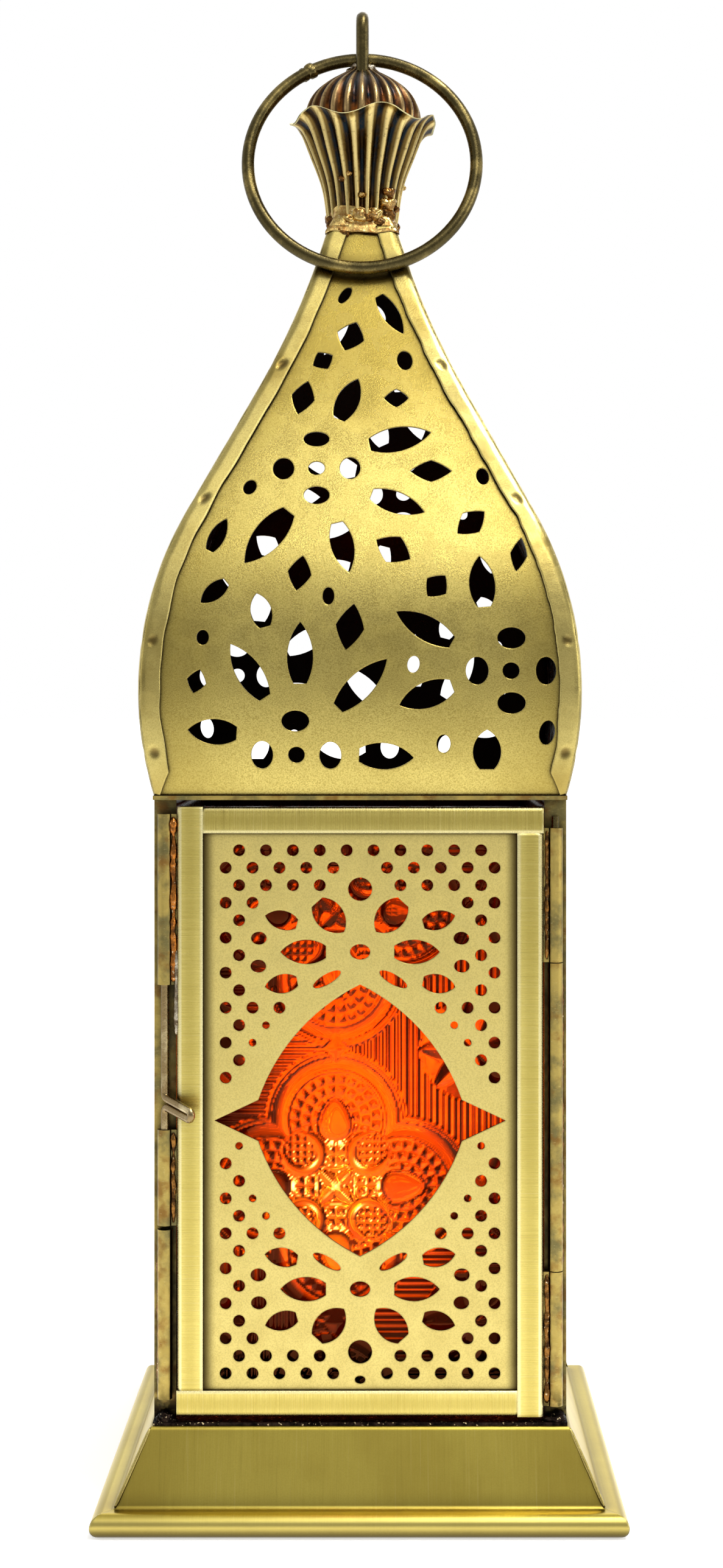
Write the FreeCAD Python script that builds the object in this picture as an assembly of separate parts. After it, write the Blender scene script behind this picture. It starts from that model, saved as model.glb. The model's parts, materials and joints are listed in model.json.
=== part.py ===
"""Pierced brass candle lantern: square base, hinged door, ogee dome, ruffled finial, carrying ring."""
import FreeCAD, Part
import math
import os
from FreeCAD import Vector

# Sheet, glass and wire stock, in millimetres
SHEET = 0.6                # brass sheet of the walls, pierced panels and dome
CHANNEL_SHEET = 0.5        # sheet of the folded channels round each panel
POST_SHEET = 0.8           # sheet of the corner posts and the top frame
GLASS = 2.4                # pressed glass
TUBE = 2.8                 # outside diameter of the hinge and latch tubes
PIN_WIRE = 1.4             # hinge pin
BOLT_WIRE = 1.5            # latch bolt
RING_WIRE = 2.6            # carrying ring
EYE_WIRE = 2.6             # staple that holds the ring

# Clearances
RUN_FIT = 0.08             # wire turning or sliding in its tube, on the radius
SIDE_GAP = 0.3             # moving piece to the fixed piece beside it
REST_GAP = 0.1             # pieces that lie against each other without being joined
BRAZE = 1.2                # thickness of the brazed web between a tube and its carrier

# Base and plinth
BASE_SIDE = 100.0          # square over the rolled hem
HEM_HEIGHT = 4.4           # rolled hem, floor to ledge
HEM_LIP = 2.4              # flat underside of the hem
FOOT_SIDE = 91.6           # square where the plinth wall meets the ledge
PLINTH_SIDE = 79.6         # square over the top edge of the plinth
PLINTH_HEIGHT = 18.0       # floor to the top of the plinth wall
PLINTH_FLANGE = 4.0        # inward fold that carries the floor plate
FOLD = 1.0                 # outside radius of a sheet fold

# Body
BODY_SIDE = 78.6           # square over the posts and side panels
BODY_HEIGHT = 118.0        # floor plate to the top frame
POST_LEG = 4.2             # width of a post leg
TOP_FRAME_WIDTH = 5.6      # width of the flat frame under the dome
TUBE_INSET = 2.2           # tube axis in from the side of the body

# Door and side panels
CHANNEL_WIDTH = 5.0        # visible width of a folded channel
DOOR_FOOT_GAP = 1.0        # floor plate to door
DOOR_HEAD_GAP = 1.3        # door to top frame
PATTERN_HEIGHT = 115.7     # panel height that the pierced pattern is drawn for
PATTERN_DROP = 1.7         # middle of the pierced pattern below the middle of the panel
HOLE = 2.2                 # small round hole
INNER_HOLE = 1.4           # smaller hole at the inner end of some rows
HOLE_PITCH = 5.1           # along a row
ROW_PITCH = 3.32           # row to row, alternate rows shifted by half a pitch
MEDALLION_HALF = 25.8      # height of the medallion point above its middle
MEDALLION_ROOT = 19.3      # half width where the side spikes start
MEDALLION_SPIKE = 27.6     # half width over the side spikes
SPIKE_ROOT = 3.9           # half height of a spike at its root
MEDALLION_BOW = 2.9        # bow of the medallion sides

# Hinge, with its lengths as shares of the door's height
HINGE_FOOT = 1.9           # lower knuckle above the bottom of the door
KNUCKLE_SHARE = 0.22       # each knuckle on the door
FRAME_KNUCKLE_SHARE = 0.505  # the knuckle on the post
KNUCKLE_GAP = 0.2          # between knuckles
PIN_STANDS = 2.2           # pin past the upper knuckle

# Latch, with its tube lengths as shares of the door's height
KEEPER_FOOT = 4.2          # keeper tube above the floor plate
KEEPER_SHARE = 0.278       # keeper tube on the post
LATCH_GAP = 0.8            # keeper to the lower guide tube
LOWER_GUIDE_SHARE = 0.157  # lower guide tube on the door
UPPER_GUIDE_SHARE = 0.28   # upper guide tube on the door
GUIDE_DROP = 1.4           # top of the upper guide below the top of the door
BOLT_DROP = 3.0            # bolt travel down into the keeper
BOLT_SEAT = 0.3            # bolt tip inside the lower guide while the door is free
BOLT_TAIL = 9.0            # bolt inside the upper guide
HANDLE_RIGHT = 5.2         # handle tip to the right of the bolt
HANDLE_OUT = 7.4           # handle tip in front of the bolt
HANDLE_FALL = 1.2          # handle tip below its root
HANDLE_BEND = 1.1          # centre line radius where the handle leaves the bolt

# Dome
DOME_HEIGHT = 114.8        # top frame to neck
BULGE_SIDE = 82.8          # square over the panels at the widest level
BULGE_RISE = 20.0          # widest level above the top frame
BULGE_RADIUS = 75.0        # bulge of a panel
SLOPE_LEAN = 7.0           # degrees that the straight part leans past the line from bulge to neck
SLOPE_SHARE = 0.24         # length of the straight part as a share of the dome's height
NECK_SIDE = 12.8           # square over the panels at the neck
MITRE_GAP = 0.1            # panel edge to the mitre plane
BIND_WIDTH = 4.3           # width of a corner binding leg
BIND_SHEET = 0.5           # sheet of a corner binding
BIND_GAP = 0.05            # binding to panel

# Finial
CUP_HEIGHT = 22.2          # neck to the middle of the ruffled rim
CUP_NECK = 6.2             # outside radii of the cup going up
CUP_LOW = 7.5
CUP_MID = 9.2
CUP_HIGH = 11.6
CUP_RIM = 15.0
FLUTES = 22
FLUTE_DEPTH = 0.55
RUFFLES = 6
RUFFLE_DEPTH = 1.1         # rise and fall of the rim
RUFFLE_TURN = 17.0         # degrees from the front to the first high point
CAP_SEAT = 0.6             # cap foot below the middle of the cup rim
CAP_HEIGHT = 12.4          # cap foot to cap tip
CAP_FOOT = 11.6            # outside radii of the cap going up
CAP_LOW = 10.9
CAP_MID = 9.2
CAP_HIGH = 5.2
CAP_TIP = 1.9
CAP_RIBS = 24
RIB_DEPTH = 0.4
EYE_HEIGHT = 11.4          # cap tip to the top of the eye
EYE_TAIL = 3.6             # legs of the eye below the cap tip
RING_RADIUS = 23.3         # centre line of the carrying ring

# Candle
CANDLE = 38.0              # diameter
CANDLE_HEIGHT = 25.0
DISH_WALL = 7.0            # height of the dish wall
DISH_GAP = 0.6             # candle to dish wall
WICK = 1.4                 # diameter
WICK_RISE = 5.0            # wick above the wax
WICK_SUNK = 8.0            # wick inside the wax
MELT_POOL = 1.2            # hollow in the top of the wax

# Levels and places that follow from the sizes above
FLOOR_TOP = PLINTH_HEIGHT + SHEET
BODY_TOP = FLOOR_TOP + BODY_HEIGHT
DOME_FOOT = BODY_TOP + POST_SHEET
NECK = DOME_FOOT + DOME_HEIGHT
RIM = NECK + CUP_HEIGHT
CAP_BASE = RIM - CAP_SEAT
CAP_TOP = CAP_BASE + CAP_HEIGHT
BODY_HALF = BODY_SIDE / 2
TUBE_X = BODY_HALF - TUBE_INSET
TUBE_Y = -BODY_HALF + TUBE / 2
POST_FACE = TUBE_Y + TUBE / 2 + SIDE_GAP
UNIT_DEPTH = 2 * CHANNEL_SHEET + SHEET + GLASS + REST_GAP
PANE_INSET = FOLD + REST_GAP
UNIT_HALF = BODY_HALF - POST_LEG
DOOR_HALF = UNIT_HALF - SIDE_GAP
DOOR_FOOT = FLOOR_TOP + DOOR_FOOT_GAP
DOOR_TOP = BODY_TOP - DOOR_HEAD_GAP
DOOR_HEIGHT = DOOR_TOP - DOOR_FOOT
KEEPER_TOP = FLOOR_TOP + KEEPER_FOOT + KEEPER_SHARE * DOOR_HEIGHT
GUIDE_FOOT = KEEPER_TOP + LATCH_GAP
GUIDE_TOP = GUIDE_FOOT + LOWER_GUIDE_SHARE * DOOR_HEIGHT
UPPER_GUIDE_TOP = DOOR_TOP - GUIDE_DROP
UPPER_GUIDE_FOOT = UPPER_GUIDE_TOP - UPPER_GUIDE_SHARE * DOOR_HEIGHT
RING_PIVOT = CAP_TOP + SIDE_GAP + RING_WIRE / 2
UP = Vector(0, 0, 1)
SIDES = ("front", "right", "back", "left")

# Holes in a dome panel: place across, height above the floor, length, width, turn in degrees
DOME_PETALS = (
    (5.9, 233.0, 9.5, 3.4, -59), (-2.5, 215.0, 9.3, 4.5, 67), (7.7, 206.7, 12.2, 5.0, 12),
    (7.2, 193.5, 10.8, 4.3, -20), (-27.2, 187.2, 7.0, 3.0, 64), (-17.9, 186.7, 13.0, 5.6, 231),
    (-3.3, 184.7, 10.0, 4.4, -76), (-27.8, 176.0, 6.2, 3.2, 220), (-18.8, 172.6, 6.6, 4.0, 105),
    (23.1, 178.1, 9.8, 4.9, 95), (12.1, 169.4, 12.0, 4.6, 151), (-21.2, 161.1, 12.0, 4.8, 123),
    (-11.3, 164.5, 11.7, 4.9, 90), (0.5, 158.7, 13.0, 4.7, 45), (12.4, 156.4, 10.6, 4.9, 200),
    (-27.9, 149.6, 9.2, 4.8, 176), (5.0, 144.9, 10.3, 5.0, -3), (24.0, 146.2, 7.5, 5.3, 90),
)
DOME_DIAMONDS = (
    (-2.2, 228.4, 6.4, 5.6, 70), (-7.7, 223.2, 4.4, 4.0, 30), (-11.5, 215.3, 7.2, 4.6, 75),
    (6.9, 215.2, 4.8, 3.8, 0), (13.6, 200.0, 8.0, 4.4, 0), (21.2, 189.6, 6.8, 4.8, 40),
    (6.3, 184.3, 7.4, 5.6, -30), (-11.5, 179.7, 6.8, 4.5, 80), (30.2, 183.3, 6.6, 3.2, 80),
    (-1.9, 169.4, 8.9, 5.4, 80), (14.5, 177.2, 5.2, 4.6, 50), (-30.8, 159.1, 4.6, 3.7, 75),
)
DOME_OVALS = (
    (-3.4, 237.2, 3.9, 1.9, 55), (8.6, 223.2, 4.0, 3.0, 100), (-8.7, 206.6, 5.0, 3.0, 0),
    (-15.0, 200.5, 4.3, 4.1, 90), (-8.6, 200.6, 3.2, 2.7, 0), (-2.1, 200.6, 4.4, 4.0, 90),
    (23.6, 198.9, 3.3, 2.4, 100), (-21.4, 196.7, 3.0, 2.4, 60), (-8.5, 195.1, 5.0, 3.5, 0),
    (-6.0, 175.3, 3.3, 2.2, 90), (-29.7, 167.4, 2.8, 2.3, 90), (10.1, 162.3, 3.2, 2.3, 80),
    (28.6, 167.3, 5.3, 4.0, 0), (22.1, 161.1, 5.2, 4.3, 90), (28.5, 161.1, 3.2, 3.1, 0),
    (35.1, 161.1, 5.2, 3.8, 90), (28.6, 155.0, 5.3, 4.0, 0), (-12.2, 151.6, 5.2, 3.9, 0),
    (-18.5, 145.2, 5.2, 4.1, 90), (-12.0, 145.2, 3.1, 3.0, 0), (-5.6, 145.1, 5.1, 4.1, 90),
    (15.8, 147.3, 3.4, 2.6, 90), (35.3, 149.4, 4.6, 2.9, 80),
)
DOME_PATTERN_FOOT = 137.4  # level of the dome foot that the heights above are measured with
DOME_PATTERN_HEIGHT = 114.8  # dome height that they are measured with

# Flower above and below the medallion: place across, height from its middle, length, width, turn
FLOWER_PETALS = (
    (5.6, 38.6, 7.6, 5.4, 228), (15.0, 38.1, 6.2, 3.6, 15), (10.8, 32.0, 8.6, 4.6, 0),
    (15.0, 25.9, 6.2, 3.6, -10),
)
FLOWER_SLOT = (6.3, 26.8, 5.9, 1.9, -30)
FLOWER_SIDE = ((19.2, 34.6, 2.9, 2.4, 0), (19.3, 29.3, 2.9, 2.4, 0))
FLOWER_MIDDLE = ((0.0, 43.9, 4.5, 4.4, 0), (0.0, 32.0, 3.8, 2.9, 0))
FOOT_HOLE = (0.0, 49.2, 2.0, 1.5, 0)   # in the middle of the lowest row
# Small holes kept in each row on either side, counted from the edge, from the furthest row to the medallion
UPPER_ROWS = (5, 5, 4, 2, 1, 1, 1, 1, 1, 3, 2, 2, 1, 1, 0)
LOWER_ROWS = (0, 5, 4, 2, 1, 1, 1, 1, 1, 3, 2, 2, 1, 1, 1)
INNER_ROWS = (10, 11, 14)  # rows that end in a smaller hole


def on_side(shape, index):
    """Copy of a front piece turned to the numbered side of the lantern."""
    turned = shape.copy()
    turned.rotate(Vector(0, 0, 0), UP, 90 * index)
    return turned


def line(start, end):
    """Straight edge."""
    return Part.LineSegment(start, end).toShape()


def arc(start, middle, end):
    """Arc through three points."""
    return Part.Arc(start, middle, end).toShape()


def rounded_path(points, radius):
    """Open wire of straight runs with a tangent arc at every inner point."""
    edges = []
    last = points[0]
    for before, corner, after in zip(points, points[1:], points[2:]):
        back = (before - corner).normalize()
        ahead = (after - corner).normalize()
        half = back.getAngle(ahead) / 2
        reach = radius / math.tan(half)
        first = corner + back * reach
        second = corner + ahead * reach
        inward = (back + ahead).normalize()
        middle = corner + inward * (radius / math.sin(half) - radius)
        if (first - last).Length > 1e-6:
            edges.append(line(last, first))
        edges.append(arc(first, middle, second))
        last = second
    edges.append(line(last, points[-1]))
    return Part.Wire(edges)


def polygon_prism(corners, foot, height):
    """Upright prism over a plan polygon."""
    points = [Vector(x, y, foot) for x, y in corners]
    return Part.Face(Part.makePolygon(points + points[:1])).extrude(UP * height)


def box(low, high):
    """Block between two corners."""
    size = high - low
    return Part.makeBox(size.x, size.y, size.z, low)


def tube(x, y, foot, top, outer, bore):
    """Upright tube."""
    height = top - foot
    place = Vector(x, y, foot)
    solid = Part.makeCylinder(outer, height, place, UP)
    return solid.cut(Part.makeCylinder(bore, height, place, UP))


def round_wire(path, radius):
    """Wire of round section along a path."""
    start = path.Edges[0]
    low = start.FirstParameter
    circle = Part.makeCircle(radius, start.valueAt(low), start.tangentAt(low))
    return path.makePipeShell([Part.Wire(circle)], True, True)


def mitred(section, reach, gap):
    """Section drawn across the front, run sideways and mitred to the two corners."""
    strip = section.extrude(Vector(2 * reach, 0, 0))
    strip.translate(Vector(-reach, 0, 0))
    bounds = strip.BoundBox
    wedge = polygon_prism(((0, -gap), (-reach, -reach - gap), (reach, -reach - gap)),
                          bounds.ZMin - 1, bounds.ZLength + 2)
    return strip.common(wedge)


# Base and plinth

def plinth_wall():
    """Sloping front wall with its top fold, ledge and rolled hem in one bent sheet."""
    outside = -BASE_SIDE / 2
    round_off = HEM_HEIGHT / 2
    points = [
        Vector(0, -PLINTH_SIDE / 2 + PLINTH_FLANGE, PLINTH_HEIGHT),
        Vector(0, -PLINTH_SIDE / 2, PLINTH_HEIGHT),
        Vector(0, -FOOT_SIDE / 2, HEM_HEIGHT),
        Vector(0, outside + round_off, HEM_HEIGHT),
    ]
    wall = rounded_path(points, FOLD)
    hem_foot = Vector(0, outside + round_off, 0)
    hem = arc(points[-1], Vector(0, outside, round_off), hem_foot)
    lip = line(hem_foot, hem_foot + Vector(0, HEM_LIP, 0))
    path = Part.Wire(wall.Edges + [hem, lip])
    return mitred(path.makeOffset2D(-SHEET, 0, True, True), BASE_SIDE, 0)


def floor_plate():
    """Flat sheet on the plinth folds that carries the posts and the candle dish."""
    return box(Vector(-BODY_HALF, -BODY_HALF, PLINTH_HEIGHT), Vector(BODY_HALF, BODY_HALF, FLOOR_TOP))


# Posts and top frame

def post(face, side_end):
    """Angle post on the left; face is its front or back plane, side_end where its side leg stops."""
    inward = math.copysign(POST_SHEET, -face)
    corners = (
        (-BODY_HALF, face),
        (-UNIT_HALF, face),
        (-UNIT_HALF, face + inward),
        (-BODY_HALF + POST_SHEET, face + inward),
        (-BODY_HALF + POST_SHEET, side_end),
        (-BODY_HALF, side_end),
    )
    return polygon_prism(corners, FLOOR_TOP, BODY_HEIGHT)


def top_frame():
    """Flat square frame between the posts and the dome."""
    inner = BODY_HALF - TOP_FRAME_WIDTH
    plate = box(Vector(-BODY_HALF, -BODY_HALF, BODY_TOP), Vector(BODY_HALF, BODY_HALF, DOME_FOOT))
    return plate.cut(box(Vector(-inner, -inner, BODY_TOP), Vector(inner, inner, DOME_FOOT)))


# Pierced holes, drawn round the origin in the upright plane with the tip to the right

def petal(length, width):
    """Leaf pointed at one end and blunt at the other."""
    tip = Vector(length / 2, 0, 0)
    base = -length / 2
    side = width / 2
    upper = Vector(base, 0, side * 0.5)
    lower = Vector(base, 0, -side * 0.5)
    crown = Vector(-length * 0.08, 0, side)
    dip = Vector(-length * 0.08, 0, -side)
    return Part.Wire([arc(tip, crown, upper), line(upper, lower), arc(lower, dip, tip)])


def diamond(length, width):
    """Four sided hole with slightly bowed edges."""
    right = Vector(length / 2, 0, 0)
    top = Vector(0, 0, width / 2)
    bow = 1.12
    edges = []
    corners = (right, top, right * -1, top * -1)
    for index, corner in enumerate(corners):
        after = corners[(index + 1) % 4]
        edges.append(arc(corner, (corner + after) * (bow / 2), after))
    return Part.Wire(edges)


def oval(length, width):
    """Elliptical hole, round when both sizes agree."""
    if length - width < 1e-6:
        return Part.Wire(Part.makeCircle(length / 2, Vector(0, 0, 0), Vector(0, -1, 0)))
    curve = Part.Ellipse(Vector(length / 2, 0, 0), Vector(0, 0, width / 2), Vector(0, 0, 0))
    return Part.Wire(curve.toShape())


def placed(outline, x, z, turn):
    """Outline turned about the view direction and moved into place."""
    moved = outline.copy()
    moved.rotate(Vector(0, 0, 0), Vector(0, -1, 0), turn)
    moved.translate(Vector(x, 0, z))
    return moved


# Flat pierced panel

def medallion(level, stretch):
    """Pointed medallion with a spike on each side."""
    top = Vector(0, 0, MEDALLION_HALF * stretch)
    root = Vector(MEDALLION_ROOT, 0, SPIKE_ROOT)
    spike = Vector(MEDALLION_SPIKE, 0, 0)
    chord = root - top
    out = Vector(-chord.z, 0, chord.x).normalize()
    bow = top + chord * 0.5 + out * MEDALLION_BOW
    quarter = [arc(top, bow, root), line(root, spike)]
    half = quarter + [edge.mirror(Vector(0, 0, 0), UP) for edge in quarter]
    whole = half + [edge.mirror(Vector(0, 0, 0), Vector(1, 0, 0)) for edge in half]
    outline = Part.Wire(Part.__sortEdges__(whole))
    return placed(outline, 0, level, 0)


def flower_holes(stretch):
    """Holes of the flower above the medallion, measured from the medallion middle."""
    holes = [placed(oval(a, b), x, z * stretch, turn) for x, z, a, b, turn in FLOWER_MIDDLE]
    for way in (1, -1):
        for x, z, a, b, turn in FLOWER_PETALS:
            holes.append(placed(petal(a, b), x * way, z * stretch, turn if way > 0 else 180 - turn))
        for x, z, a, b, turn in FLOWER_SIDE + (FLOWER_SLOT,):
            holes.append(placed(oval(a, b), x * way, z * stretch, turn * way))
    return holes


def row_holes(counts, stretch):
    """Staggered small round holes above the medallion, measured from its middle."""
    holes = []
    columns = max(counts)
    pitch = ROW_PITCH * stretch
    top_row = pitch * (len(counts) + 0.45)
    for row, count in enumerate(counts):
        shift = 0.5 if row % 2 == 0 else 0.0
        for place in range(count):
            inner = row in INNER_ROWS and place == count - 1
            size = INNER_HOLE if inner else HOLE
            x = HOLE_PITCH * (columns - place - shift)
            for way in (1, -1):
                holes.append(placed(oval(size, size), x * way, top_row - row * pitch, 0))
    return holes


def pierced_panel(half, foot, top):
    """Flat pierced sheet behind the channels of a front panel."""
    edge = half - PANE_INSET
    low = foot + PANE_INSET
    high = top - PANE_INSET
    stretch = (top - foot) / PATTERN_HEIGHT
    middle = (foot + top) / 2 - PATTERN_DROP * stretch
    x, z, length, width, turn = FOOT_HOLE
    foot_hole = placed(oval(length, width), x, z * stretch, turn)
    flower = flower_holes(stretch)
    upper = flower + row_holes(UPPER_ROWS, stretch)
    lower = flower + row_holes(LOWER_ROWS, stretch) + [foot_hole]
    lower = [hole.mirror(Vector(0, 0, 0), UP) for hole in lower]
    holes = [placed(hole, 0, middle, 0) for hole in upper + lower]
    kept = [medallion(middle, stretch)]
    for hole in holes:
        bounds = hole.BoundBox
        inside = (bounds.ZMax < high - 1 and bounds.ZMin > low + 1
                  and bounds.XMax < edge - 1 and bounds.XMin > 1 - edge)
        if inside:
            kept.append(hole)
    corners = [Vector(-edge, 0, low), Vector(edge, 0, low), Vector(edge, 0, high), Vector(-edge, 0, high)]
    outline = Part.makePolygon(corners + corners[:1])
    face = Part.makeFace(Part.makeCompound([outline] + kept), "Part::FaceMakerBullseye")
    sheet = face.extrude(Vector(0, SHEET, 0))
    sheet.translate(Vector(0, -BODY_HALF + CHANNEL_SHEET, 0))
    return sheet


def glass_pane(half, foot, top):
    """Glass behind the pierced sheet."""
    edge = half - PANE_INSET
    low = foot + PANE_INSET
    high = top - PANE_INSET
    front = -BODY_HALF + CHANNEL_SHEET + SHEET
    return box(Vector(-edge, front, low), Vector(edge, front + GLASS, high))


def channel(length):
    """Folded channel standing on the origin, open to the right, its front flange at the body face."""
    front = -BODY_HALF
    back = front + UNIT_DEPTH
    points = [
        Vector(CHANNEL_WIDTH, front, 0),
        Vector(0, front, 0),
        Vector(0, back, 0),
        Vector(CHANNEL_WIDTH, back, 0),
    ]
    path = rounded_path(points, FOLD)
    return path.makeOffset2D(CHANNEL_SHEET, 0, True, True).extrude(UP * length)


def panel_channels(half, foot, top):
    """Left stile, right stile, top rail and bottom rail, each lapping past the next like a pinwheel."""
    width = 2 * half
    height = top - foot
    left = channel(height - CHANNEL_WIDTH)
    left.translate(Vector(-half, 0, foot + CHANNEL_WIDTH))
    right = channel(height - CHANNEL_WIDTH)
    right.rotate(Vector(0, 0, 0), Vector(0, 1, 0), 180)
    right.translate(Vector(half, 0, top - CHANNEL_WIDTH))
    upper = channel(width - CHANNEL_WIDTH)
    upper.rotate(Vector(0, 0, 0), Vector(0, 1, 0), 90)
    upper.translate(Vector(-half + CHANNEL_WIDTH, 0, top))
    lower = channel(width - CHANNEL_WIDTH)
    lower.rotate(Vector(0, 0, 0), Vector(0, 1, 0), -90)
    lower.translate(Vector(half - CHANNEL_WIDTH, 0, foot))
    return left, right, upper, lower


def framed_panel(half, foot, top):
    """Pierced sheet, glass and four channels of one side, in its front place, by piece name."""
    left, right, upper, lower = panel_channels(half, foot, top)
    return {
        "pierced_sheet": pierced_panel(half, foot, top),
        "glass": glass_pane(half, foot, top),
        "left_stile": left,
        "right_stile": right,
        "top_rail": upper,
        "bottom_rail": lower,
    }


# Hinge and latch

def door_tube(x, foot, top, wire):
    """Tube brazed to the edge of the door."""
    way = math.copysign(1, x)
    outer = tube(x, TUBE_Y, foot, top, TUBE / 2, wire / 2 + RUN_FIT)
    inner = min(way * DOOR_HALF, x)
    outward = max(way * DOOR_HALF, x)
    web = box(Vector(inner, TUBE_Y - BRAZE / 2, foot), Vector(outward, TUBE_Y + BRAZE / 2, top))
    web = web.cut(Part.makeCylinder(TUBE / 2 - REST_GAP, top - foot, Vector(x, TUBE_Y, foot), UP))
    return outer.fuse(web).removeSplitter()


def frame_tube(x, foot, top, wire):
    """Tube brazed to the front of a post."""
    outer = tube(x, TUBE_Y, foot, top, TUBE / 2, wire / 2 + RUN_FIT)
    web = box(Vector(x - BRAZE / 2, TUBE_Y, foot), Vector(x + BRAZE / 2, POST_FACE, top))
    web = web.cut(Part.makeCylinder(TUBE / 2 - REST_GAP, top - foot, Vector(x, TUBE_Y, foot), UP))
    return outer.fuse(web).removeSplitter()


def hinge():
    """Knuckles and pin of the door hinge, by piece name."""
    knuckle = KNUCKLE_SHARE * DOOR_HEIGHT
    frame_knuckle = FRAME_KNUCKLE_SHARE * DOOR_HEIGHT
    low = DOOR_FOOT + HINGE_FOOT
    frame_low = low + knuckle + KNUCKLE_GAP
    high = frame_low + frame_knuckle + KNUCKLE_GAP
    pin_top = high + knuckle + PIN_STANDS
    pin_foot = low - KNUCKLE_GAP
    pin = Part.makeCylinder(PIN_WIRE / 2, pin_top - pin_foot, Vector(TUBE_X, TUBE_Y, pin_foot), UP)
    return {
        "hinge_lower_knuckle": door_tube(TUBE_X, low, low + knuckle, PIN_WIRE),
        "hinge_frame_knuckle": frame_tube(TUBE_X, frame_low, frame_low + frame_knuckle, PIN_WIRE),
        "hinge_upper_knuckle": door_tube(TUBE_X, high, high + knuckle, PIN_WIRE),
        "hinge_pin": pin,
    }


def latch_bolt():
    """Bolt bent from one wire with a hairpin handle in the middle."""
    pitch = BOLT_WIRE + REST_GAP
    axis = Vector(-TUBE_X, TUBE_Y, 0)
    reach = Vector(HANDLE_RIGHT, -HANDLE_OUT, -HANDLE_FALL)
    ahead = Vector(reach).normalize()
    upright = (UP - ahead * UP.dot(ahead)).normalize()
    low_root = axis + UP * (GUIDE_TOP + BOLT_DROP + SIDE_GAP + HANDLE_BEND)
    high_root = low_root + UP * (pitch / upright.z)
    tip = (low_root + high_root) * 0.5 + reach
    high_end = tip + upright * (pitch / 2)
    low_end = tip - upright * (pitch / 2)
    tail_top = axis + UP * (UPPER_GUIDE_FOOT + BOLT_TAIL)
    shank_foot = axis + UP * (GUIDE_FOOT + BOLT_SEAT)
    down = rounded_path([tail_top, high_root, high_end], HANDLE_BEND)
    turn = arc(high_end, tip + ahead * (pitch / 2), low_end)
    back = rounded_path([low_end, low_root, shank_foot], HANDLE_BEND)
    return round_wire(Part.Wire(down.Edges + [turn] + back.Edges), BOLT_WIRE / 2)


def latch():
    """Guides, keeper and bolt of the drop latch, by piece name."""
    keeper_foot = FLOOR_TOP + KEEPER_FOOT
    return {
        "latch_keeper": frame_tube(-TUBE_X, keeper_foot, KEEPER_TOP, BOLT_WIRE),
        "latch_lower_guide": door_tube(-TUBE_X, GUIDE_FOOT, GUIDE_TOP, BOLT_WIRE),
        "latch_upper_guide": door_tube(-TUBE_X, UPPER_GUIDE_FOOT, UPPER_GUIDE_TOP, BOLT_WIRE),
        "latch_bolt": latch_bolt(),
    }


# Dome

def dome_slope():
    """Lean of the straight part of a panel from upright, in radians."""
    inward = (BULGE_SIDE - NECK_SIDE) / 2
    return math.atan2(inward, DOME_HEIGHT - BULGE_RISE) + math.radians(SLOPE_LEAN)


def dome_curve():
    """Joints of the panel profile as half width and height: foot, end of bulge, end of slope, neck."""
    slope = dome_slope()
    run = SLOPE_SHARE * DOME_HEIGHT
    centre = BULGE_SIDE / 2 - BULGE_RADIUS
    foot_half = centre + math.sqrt(BULGE_RADIUS ** 2 - BULGE_RISE ** 2)
    bulge_top = (centre + BULGE_RADIUS * math.cos(slope),
                 DOME_FOOT + BULGE_RISE + BULGE_RADIUS * math.sin(slope))
    slope_top = (bulge_top[0] - run * math.sin(slope), bulge_top[1] + run * math.cos(slope))
    return (foot_half, DOME_FOOT), bulge_top, slope_top, (NECK_SIDE / 2, NECK)


def neck_sweep():
    """Centre (half width, height) and radius of the hollow arc that leads into the neck."""
    slope = dome_slope()
    start, end = dome_curve()[2:]
    across = end[0] - start[0]
    rise = end[1] - start[1]
    off = across * math.cos(slope) + rise * math.sin(slope)
    radius = (across ** 2 + rise ** 2) / (2 * off)
    return start[0] + radius * math.cos(slope), start[1] + radius * math.sin(slope), radius


def dome_half(level):
    """Half width of the dome panels at a height above the floor."""
    foot, bulge_top, slope_top, neck = dome_curve()
    if level < bulge_top[1]:
        rise = level - DOME_FOOT - BULGE_RISE
        return BULGE_SIDE / 2 - BULGE_RADIUS + math.sqrt(BULGE_RADIUS ** 2 - rise ** 2)
    if level < slope_top[1]:
        return bulge_top[0] - (level - bulge_top[1]) * math.tan(dome_slope())
    middle, height, radius = neck_sweep()
    return middle - math.sqrt(radius ** 2 - (level - height) ** 2)


def dome_profile():
    """Outside of a front panel as a wire of a bulge, a straight slope and a hollow sweep."""
    foot, bulge_top, slope_top, neck = dome_curve()

    def at(level):
        return Vector(0, -dome_half(level), level)

    bulge = arc(at(foot[1]), at((foot[1] + bulge_top[1]) / 2), at(bulge_top[1]))
    run = line(at(bulge_top[1]), at(slope_top[1]))
    sweep = arc(at(slope_top[1]), at((slope_top[1] + neck[1]) / 2), at(neck[1]))
    return Part.Wire([bulge, run, sweep])


def dome_level(shape):
    """Shape with whatever stands below the dome foot or above the neck cut off."""
    reach = BULGE_SIDE
    return shape.common(box(Vector(-reach, -reach, DOME_FOOT), Vector(reach, reach, NECK)))


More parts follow.
